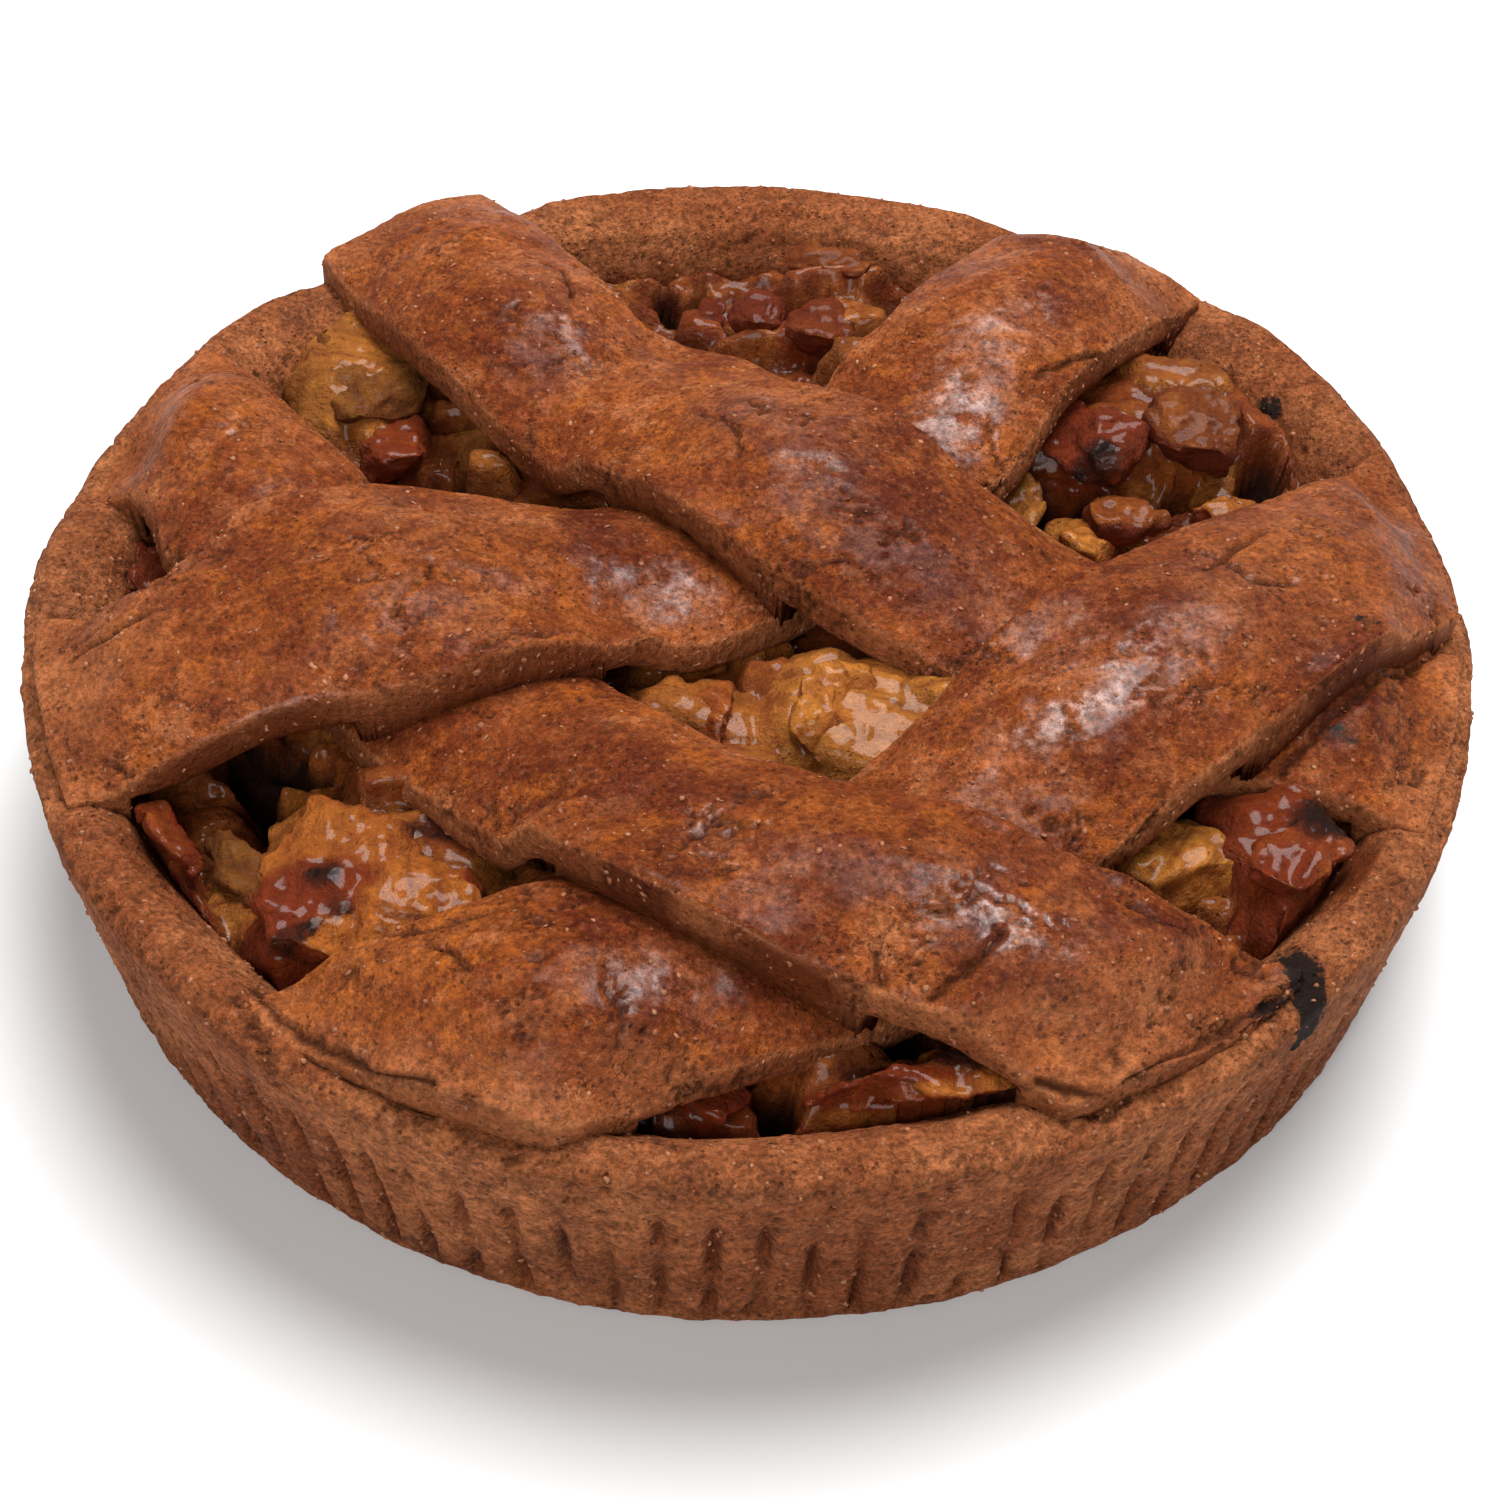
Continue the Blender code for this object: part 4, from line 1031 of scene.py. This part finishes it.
def crust_masks(mesh, groove):
    points, normals = points_of(mesh), normals_of(mesh)
    x, y, z = points.T
    distance = np.hypot(x, y)
    waves = ((3, 0.05), (5, -0.08), (9, 0.1), (17, 0.2))
    uneven = 0.5 + 0.5 * ring_noise(np.arctan2(y, x), z, waves)
    # Painted shade in the wall's grooves and darker towards the wall's foot, with uneven baking
    # near the top
    low = 0.55 * (1 - smooth(z, 8, 27))
    bake = np.clip(groove + low * uneven + 0.25 * uneven * smooth(z, 20, 34), 0, 1)
    # Painted shade on the rim's inner face above the filling
    inside = smooth(distance, 90.5, 88.0) * smooth(z, 33, 27)
    bake = np.maximum(bake, 0.35 * inside)
    bake = np.maximum(bake, 0.8 * patches(x, y, DARK_PATCHES) * (z > 30))
    jam = smooth(distance, 91.5, 88.5) * smooth(z, 28.5, 24.0) * (z > 15)
    split = crack_share(x, y) * (z > 30) * (distance > 84)
    set_masks(
        mesh,
        # Painted light: the crust is made lighter towards the back, where the light falls
        bake=np.clip(bake - 0.25 * smooth(y, 30, 85) * (z > 24), 0, 1),
        char=patches(x, y, CHAR_SPOTS) * (z > 28),
        jam=np.maximum(jam, patches(x, y, RIM_JAM) * (z > 20) * (distance < 94)),
        crack=split,
        crumbly=(z > 1.5) * (distance > 86) * (0.5 + 0.5 * uneven),
        rough=0.7 + 0.3 * smooth(normals[:, 2], 0.5, -0.2),
    )
    points[:, 2] -= 0.8 * split
    set_points(mesh, points)


class PIE_OT_crust(bpy.types.Operator):
    """Build the fluted shortcrust shell"""

    bl_idname = "pie.crust"
    bl_label = "Crust"

    def execute(self, context):
        mesh, groove = crust_mesh(context.scene.pie_sizes)
        crust_masks(mesh, groove)
        obj = new_object("pie_crust", mesh)
        add_relief(
            obj,
            crust_material(context.scene.pie_colours),
            swell=(18.0, 0.35),
            lump=(4.2, 0.36),
            grain=(1.5, 0.32),
            pore=(2.7, 0.75),
            crack=(9.0, 0.35),
        )
        keep_above_table(obj.data)
        finish_piece(obj, ["crust"])
        return {"FINISHED"}


# The lattice strips


# Where the ends keep some of their thickness on the rim: x, y, half sizes, turn, share kept
KEPT_ENDS = (
    (-60, 82, 34, 24, 35, 1.1), (62, 66, 20, 18, -40, 0.7), (-28, -88, 18, 16, 15, 0.9),
    (41, -88, 18, 10, 20, 0.6), (64, -72, 12, 9, 45, 0.35), (84, -40, 14, 9, 60, 0.2),
    (-92, -26, 16, 26, 0, 0.75), (-82, 36, 16, 34, 45, 0.75), (94, -8, 16, 24, 0, 0.7),
)
# Where a strip's edge is pushed aside: strip, x, y, radius, push in x and y
EDGE_PUSHES = (
    ("strip_west", -84, -3, 15, 2.0, -7.0),
    ("strip_south", -87, 9, 13, 1.5, 5.0),
    ("strip_north", -5, 45, 16, 2.0, 4.5),
    ("strip_west", 10, 42, 14, -1.5, 3.5),
)
BRIDGED_GAP = 5.5
END_START = 79.0
RIM_REACH = 92.5
TOUCH_REACH = 5.0


def strip_label(name):
    return name.replace("strip", "dough_strip")


def other_strips(name):
    return [node for node in STRIP_NODES if node != name]


def push_edges(name, x, y):
    """Moves a strip's edges aside, most at the middle of each push."""
    for strip, middle_x, middle_y, radius, push_x, push_y in EDGE_PUSHES:
        if strip == name:
            away = np.hypot(x - middle_x, y - middle_y) / radius
            share = np.clip(1 - away**2, 0, 1) ** 2
            x, y = x + push_x * share, y + push_y * share
    return x, y


def settle_strip(name, mesh):
    """Lowers the underside onto what carries it and presses the ends into the rim."""
    points, normals = points_of(mesh), normals_of(mesh)
    x, y = push_edges(name, points[:, 0], points[:, 1])
    z = points[:, 2]
    under = smooth(normals[:, 2], 0.30, -0.35)
    low = np.flatnonzero(under > 0.02)
    below = drop(surface("crust", *other_strips(name)), x[low], y[low], z[low] + 0.4)
    gap = np.nan_to_num(z[low] - below, nan=99.0)
    fall = np.where(gap < BRIDGED_GAP, np.maximum(gap, 0) + 0.5, 0.8)
    z[low] = z[low] - fall * under[low]
    distance = np.hypot(x, y)
    outer = np.flatnonzero(distance > END_START)
    reach = np.maximum(1.0, RIM_REACH / distance[outer])
    rim = drop(surface("crust"), x[outer] * reach, y[outer] * reach, ABOVE_ALL)
    keep = np.minimum(patches(x[outer], y[outer], KEPT_ENDS), 1.0)
    wobble = 2.0 * bumps(x[outer], y[outer], 13.0, 0.7)
    share = 1 - (1 - keep) * smooth(distance[outer] + wobble, 85.0, 98.0)
    height = z[outer] - rim
    pressed = rim + np.where(height > 0, height * share, height)
    z[outer] = np.where(np.isnan(rim), z[outer], pressed - 0.35 * (1 - share))
    set_points(mesh, np.column_stack([x, y, z]))


def nearness(points, tree, reach):
    """How near each point lies to a surface: 1 in touch, 0 at the reach."""
    found = np.ones(len(points))
    for k, point in enumerate(points):
        away = tree.find_nearest(Vector(point) * MM, reach * MM)[3]
        if away is not None:
            found[k] = away / MM / reach
    return 1 - np.clip(found, 0, 1)


def strip_masks(name, mesh):
    points, normals = points_of(mesh), normals_of(mesh)
    x, y = points[:, 0], points[:, 1]
    up = normals[:, 2]
    glaze = smooth(up, 0.42, 0.78) * (1 - 0.55 * smooth(np.hypot(x, y), 90.0, 98.0))
    side = smooth(up, 0.55, 0.15)
    dry = patches(x, y, DRY_PATCHES)
    touch = nearness(points, surface(*other_strips(name)), TOUCH_REACH)
    uneven = 0.5 + 0.5 * bumps(x, y, 8.0, 2.2)
    # Painted shade in a syrup colour along the lines where the strips touch
    jam = smooth(touch, 0.42, 0.85) * np.clip(0.4 + 0.9 * uneven, 0, 1)
    split = crack_share(x, y) * smooth(up, 0.0, 0.5)
    set_masks(
        mesh,
        glaze=glaze,
        # Dark baked patches, and painted shade on the strips' sides
        bake=np.maximum(0.9 * patches(x, y, DARK_PATCHES), 0.35 * side),
        wash=patches(x, y, ORANGE_PATCHES),
        dry=dry,
        gloss=patches(x, y, GLOSS_PATCHES),
        char=patches(x, y, CHAR_SPOTS),
        # Real cracks, and painted shade in the seams where the strips touch
        crack=np.maximum(split, 0.8 * smooth(touch, 0.74, 0.92)),
        jam=np.maximum(jam, patches(x, y, JAM_PATCHES) * smooth(up, 0.9, 0.2)),
        rough=0.35 + 0.65 * (1 - glaze),
        crumbly=(0.16 + 0.5 * side + 0.25 * dry) * (up > -0.25) * (touch < 0.7),
    )
    set_points(mesh, points - normals * (0.9 * split)[:, None])


class PIE_OT_strips(bpy.types.Operator):
    """Build the four woven strips of glazed dough"""

    bl_idname = "pie.strips"
    bl_label = "Lattice strips"

    def execute(self, context):
        material = strip_material(context.scene.pie_colours)
        for seed, name in enumerate(STRIP_NODES):
            obj = voxel_piece(name, strip_label(name), context.scene.pie_sizes.voxel, True)
            settle_strip(name, obj.data)
            strip_masks(name, obj.data)
            add_relief(
                obj,
                material,
                shift=(0.13 * seed, 0.07 * seed, 0.0),
                crack_share=0.45,
                swell=(15.0, 0.7),
                lump=(5.5, 0.30),
                grain=(1.7, 0.22),
                pore=(1.9, 0.16),
                crack=(11.0, 0.6),
            )
            finish_piece(obj, [name])
        return {"FINISHED"}


# The filling and the lumps of apple


FILLING_RADIUS = 89.5
FILLING_BOTTOM = 9.0
FILLING_EDGE_HEIGHT = 26.0
COARSE_REACH = 92.0
COARSE_STEP = 1.9
LUMP_VOXEL = 0.00045
FIRST_LUMP_SEED = 40


def chunk_field(x, y):
    """The tops of the chunks over each place, and the pale and red shares and the turn there."""
    top = np.full(np.shape(x), -99.0)
    looks = np.zeros((3, *np.shape(x)))
    bend_x = x + 1.1 * bumps(x, y, 6.0, 0.4)
    bend_y = y + 1.1 * bumps(x, y, 6.0, 3.1)
    for k, (chunk_x, chunk_y, long, broad, turn, height, pale, red) in enumerate(FILLING_CHUNKS):
        angle = math.radians(turn)
        along, aside = turned(bend_x - chunk_x, bend_y - chunk_y, angle)
        along, aside = along / long, aside / broad
        away = (np.abs(along) ** 3 + np.abs(aside) ** 3) ** (1 / 3)
        lean = 0.9 * math.sin(2.3 * k) * along + 0.9 * math.cos(1.7 * k) * aside
        rise = height + lean - 1.2 * away**2 - 9.0 * np.clip(away - 0.9, 0, 1) ** 1.3
        wins = (rise > top) & (away < 1.5)
        top = np.where(wins, rise, top)
        for look, share in zip(looks, (pale, red, angle)):
            look[wins] = share
    return top, looks


def smooth_base(x, y):
    """The CAD filling's height over each place, eased between the places of a coarse grid."""
    line = np.arange(-COARSE_REACH, COARSE_REACH + 0.01, COARSE_STEP)
    coarse_x, coarse_y = np.meshgrid(line, line, indexing="ij")
    found = drop(surface("filling"), coarse_x.ravel(), coarse_y.ravel(), ABOVE_ALL)
    coarse = np.nan_to_num(found, nan=FILLING_EDGE_HEIGHT).reshape(coarse_x.shape)
    place_x, place_y = (x + COARSE_REACH) / COARSE_STEP, (y + COARSE_REACH) / COARSE_STEP
    i, j = place_x.astype(int), place_y.astype(int)
    u, v = smooth(place_x - i, 0, 1), smooth(place_y - j, 0, 1)
    near = coarse[i, j] * (1 - u) + coarse[i + 1, j] * u
    far = coarse[i, j + 1] * (1 - u) + coarse[i + 1, j + 1] * u
    return near * (1 - v) + far * v


def filling_surface(x, y):
    """The filling's height, its pale and red shares, its fibres' turn and its pits."""
    base = smooth_base(x, y) + 1.4 * bumps(x, y, 7.0, 1.3) + 0.7 * bumps(x, y, 3.4, 4.4)
    top, (pale, red, angle) = chunk_field(x, y)
    ragged_x = x + 2.0 * bumps(x, y, 5.0, 2.6)
    ragged_y = y + 2.0 * bumps(x, y, 5.0, 0.9)
    rows = [(a, b, r, 0.8 * r, 40 * k, 1.3) for k, (a, b, r) in enumerate(PITS)]
    pits = smooth(patches(ragged_x, ragged_y, rows), 0.30, 1.0)
    z = np.maximum(base, top) - 9.0 * pits
    sauce = top <= base
    pale = np.where(sauce, 0.35 * smooth(bumps(x, y, 9, 2.0), 0.35, 0.8), pale)
    red = np.where(sauce, 0.55 * smooth(bumps(x, y, 11, 5.0), 0.0, 0.9), red)
    return z, pale, red, angle, pits


def filling_mesh(step):
    """A closed mesh of the filling's surface, its straight side and its flat bottom."""
    line = np.arange(-FILLING_RADIUS, FILLING_RADIUS + 0.01, step)
    x, y = np.meshgrid(line, line, indexing="ij")
    places = np.stack([x, y, filling_surface(x, y)[0]], axis=2) * MM
    shape = bmesh.new()
    inside = np.argwhere(np.hypot(x, y) < FILLING_RADIUS).tolist()
    index = {(a, b): shape.verts.new(places[a, b]) for a, b in inside}
    for a, b in index:
        ring = [index.get(key) for key in ((a, b), (a + 1, b), (a + 1, b + 1), (a, b + 1))]
        if None not in ring:
            shape.faces.new(ring)
    loose = [vertex for vertex in shape.verts if not vertex.link_faces]
    bmesh.ops.delete(shape, geom=loose, context="VERTS")
    edges = [edge for edge in shape.edges if edge.is_boundary]
    wall = bmesh.ops.extrude_edge_only(shape, edges=edges)
    for vertex in wall["geom"]:
        if isinstance(vertex, bmesh.types.BMVert):
            vertex.co.z = FILLING_BOTTOM * MM
    edges = [edge for edge in shape.edges if edge.is_boundary]
    bmesh.ops.holes_fill(shape, edges=edges, sides=0)
    bmesh.ops.recalc_face_normals(shape, faces=shape.faces)
    bmesh.ops.triangulate(shape, faces=[face for face in shape.faces if len(face.verts) > 4])
    return shape_mesh("apple_filling", shape)


class PIE_OT_filling(bpy.types.Operator):
    """Build the stewed filling between and below the strips"""

    bl_idname = "pie.filling"
    bl_label = "Filling"

    def execute(self, context):
        look = context.scene.pie_colours
        mesh = filling_mesh(context.scene.pie_sizes.fill_step)
        x, y, z = points_of(mesh).T
        _, pale, red, angle, pits = filling_surface(x, y)
        set_streaks(mesh, x, y, z, angle)
        set_masks(
            mesh,
            # Painted shade: the filling turns near black where it lies low and in its pits
            depth=np.minimum(smooth(z, 24.5, 18.0) + smooth(pits, 0.3, 0.9), 0.88),
            pale=pale,
            red=np.maximum(red, 0.9 * patches(x, y, RED_STAINS)),
            char=0.8 * patches(x, y, CHAR_STAINS),
            rough=np.full(len(x), 0.8),
        )
        obj = new_object("apple_filling", mesh)
        add_relief(
            obj,
            apple_material("apple_sauce", look.sauce_light, look.sauce_dark, 0.0),
            fibre_turn=25.0,
            swell=(9.0, 0.6),
            lump=(3.2, 0.45),
            grain=(1.3, 0.22),
            pore=(2.2, 0.0),
            crack=(7.0, 0.0),
            fibre=(1.8, 0.3),
            crease=(7.0, 0.4),
        )
        finish_piece(obj, ["filling"])
        return {"FINISHED"}


def cut_lump(mesh, growth, seed):
    """Widens a lump about its middle and flattens its sides, like a cut chunk of apple."""
    points = points_of(mesh)
    middle = (points.max(axis=0) + points.min(axis=0)) / 2
    spread = points - middle
    spread[:, :2] *= np.array(growth)
    random = np.random.default_rng(seed)
    for _ in range(9):
        way = random.normal(size=3) * (1.0, 1.0, 0.6)
        way /= np.linalg.norm(way)
        height = spread @ way
        limit = height.max() * random.uniform(0.60, 0.85)
        over = np.maximum(height - limit, 0)
        spread -= np.outer(0.85 * over * smooth(over, 0.0, 1.6), way)
    set_points(mesh, middle + spread)


def lump_masks(name, mesh):
    pale, red, char, fibres = LUMP_LOOKS[name]
    x, y, z = points_of(mesh).T
    up = smooth(normals_of(mesh)[:, 2], 0.15, 0.85)
    # Painted shade: each lump turns near black towards its bottom, where it sinks into the filling
    low = 0.8 * smooth(z, z.max() - 5.0, z.max() - 11.0)
    set_masks(
        mesh,
        pale=pale * (0.45 + 0.65 * up),
        red=np.maximum(red + 0.45 * (1 - up), patches(x, y, RED_STAINS)),
        char=np.maximum(char, patches(x, y, CHAR_STAINS)),
        depth=np.maximum(low, LUMP_SHADE_AND_BROWNING.get(name, 0.0)),
        rough=np.full(len(x), 0.8),
    )
    set_streaks(mesh, x, y, z, math.radians(fibres))


class PIE_OT_lumps(bpy.types.Operator):
    """Build the cooked lumps of apple that show in the openings"""

    bl_idname = "pie.lumps"
    bl_label = "Lumps of apple"

    def execute(self, context):
        look = context.scene.pie_colours
        material = apple_material("cooked_apple", look.apple_orange, look.apple_brown, 0.22)
        for seed, name in enumerate(LUMP_NODES):
            obj = voxel_piece(name, name.replace("apple_", "cooked_apple_"), LUMP_VOXEL, False)
            growth = LUMP_GROWTH.get(name, (1.30, 1.30))
            cut_lump(obj.data, growth, FIRST_LUMP_SEED + seed)
            soften(obj, SMOOTH_LUMPS.get(name, 20))
            lump_masks(name, obj.data)
            add_relief(
                obj,
                material,
                shift=(0.05 * seed, 0.03 * seed, 0.0),
                fibre_turn=float(LUMP_LOOKS[name][3]),
                swell=(6.0, 1.1),
                lump=(3.0, 0.5),
                grain=(1.3, 0.28),
                pore=(2.2, 0.0),
                crack=(7.0, 0.0),
                fibre=(1.8, 0.34),
                crease=(8.5, 0.55),
            )
            finish_piece(obj, [name])
        return {"FINISHED"}


# Crumbs


class PIE_OT_crumbs(bpy.types.Operator):
    """Scatter crumbs over the crust and the strips' sides"""

    bl_idname = "pie.crumbs"
    bl_label = "Crumbs"

    def execute(self, context):
        sizes = context.scene.pie_sizes
        material = crumb_material(context.scene.pie_colours)
        flaky = {"density": sizes.flake_density, "smallest": 0.3, "largest": 1.1, "thickness": 0.35}
        crumbly = {"density": sizes.crumb_density, "smallest": 0.25, "largest": 0.9}
        pieces = {"pie_crust": crumbly, **{strip_label(name): flaky for name in STRIP_NODES}}
        for source, values in pieces.items():
            obj = new_object(source + "_crumbs", bpy.data.objects[source].data.copy())
            apply_group(obj, crumb_group(), {"Material": material, **values})
            keep_above_table(obj.data)
            finish_piece(obj)
        return {"FINISHED"}


# Floor, light and camera


CAMERA_LENS = 53.448
CAMERA_DISTANCE = 0.339
CAMERA_RISE = math.radians(46.28)
CAMERA_ROLL = math.radians(1.035)
PHOTO_SIZE = 1500
FLOOR_CORNERS = ((-3000, -3000, 0), (3000, -3000, 0), (3000, 3000, 0), (-3000, 3000, 0))


def add_camera():
    camera = bpy.data.cameras.new("camera")
    camera.sensor_width = 36.0
    camera.lens = CAMERA_LENS
    camera.shift_x = 3.0 / PHOTO_SIZE
    camera.shift_y = 3.7 / PHOTO_SIZE
    camera.clip_start = 0.01
    obj = new_object("camera", camera)
    place = Vector((0, -math.cos(CAMERA_RISE), math.sin(CAMERA_RISE))) * CAMERA_DISTANCE
    back = place.normalized()
    right = Vector((1, 0, 0))
    up = back.cross(right)
    turned_right = right * math.cos(CAMERA_ROLL) + up * math.sin(CAMERA_ROLL)
    turned_up = up * math.cos(CAMERA_ROLL) - right * math.sin(CAMERA_ROLL)
    axes = Matrix((turned_right, turned_up, back)).transposed().to_4x4()
    axes.translation = place
    obj.matrix_world = axes
    bpy.context.scene.camera = obj


def add_area_light(name, place, size, energy):
    light = bpy.data.lights.new(name, "AREA")
    light.shape = "DISK"
    light.size = size
    light.energy = energy
    obj = new_object(name, light)
    obj.location = place
    obj.rotation_euler = (-Vector(place)).to_track_quat("-Z", "Y").to_euler()


class PIE_OT_stage(bpy.types.Operator):
    """Add the pale floor, the soft light and the camera"""

    bl_idname = "pie.stage"
    bl_label = "Stage"

    def execute(self, context):
        mesh = new_mesh("floor", FLOOR_CORNERS, [(0, 1, 2, 3)])
        material, tree, shader = new_material("pale_floor")
        tree.fill(shader, Base_Color=(0.86, 0.86, 0.86, 1), Roughness=0.9)
        mesh.materials.append(material)
        new_object("floor", mesh)
        world = bpy.data.worlds.new("studio")
        world.use_nodes = True
        background = world.node_tree.nodes["Background"]
        Tree(world.node_tree).fill(background, Color=(1, 1, 1, 1), Strength=0.16)
        context.scene.world = world
        context.scene.view_settings.view_transform = "Standard"
        context.scene.cycles.max_bounces = 5
        context.scene.cycles.diffuse_bounces = 2
        add_area_light("overhead_light", (0.10, 0.26, 0.76), 0.56, 9.6)
        add_area_light("front_light", (-0.25, -0.95, 0.75), 0.7, 7.5)
        add_camera()
        return {"FINISHED"}


class PIE_PT_panel(bpy.types.Panel):
    """The pie's pieces and sizes"""

    bl_label = "Apple pie"
    bl_idname = "PIE_PT_panel"
    bl_space_type = "VIEW_3D"
    bl_region_type = "UI"
    bl_category = "Apple pie"

    def draw(self, context):
        for operator in OPERATORS:
            self.layout.operator(operator.bl_idname)
        for group in (context.scene.pie_sizes, context.scene.pie_colours):
            for name in group.bl_rna.properties.keys():
                if name not in ("rna_type", "name"):
                    self.layout.prop(group, name)


OPERATORS = (PIE_OT_crust, PIE_OT_strips, PIE_OT_filling, PIE_OT_lumps, PIE_OT_crumbs, PIE_OT_stage)
CLASSES = (PieSizes, PieColours, *OPERATORS, PIE_PT_panel)


def register():
    for cls in CLASSES:
        bpy.utils.register_class(cls)
    bpy.types.Scene.pie_sizes = PointerProperty(type=PieSizes)
    bpy.types.Scene.pie_colours = PointerProperty(type=PieColours)


def unregister():
    del bpy.types.Scene.pie_colours
    del bpy.types.Scene.pie_sizes
    for cls in reversed(CLASSES):
        bpy.utils.unregister_class(cls)


def main():
    register()
    bpy.ops.pie.stage()
    bpy.ops.pie.crust()
    bpy.ops.pie.strips()
    bpy.ops.pie.filling()
    bpy.ops.pie.lumps()
    bpy.ops.pie.crumbs()


if __name__ == "__main__":
    main()
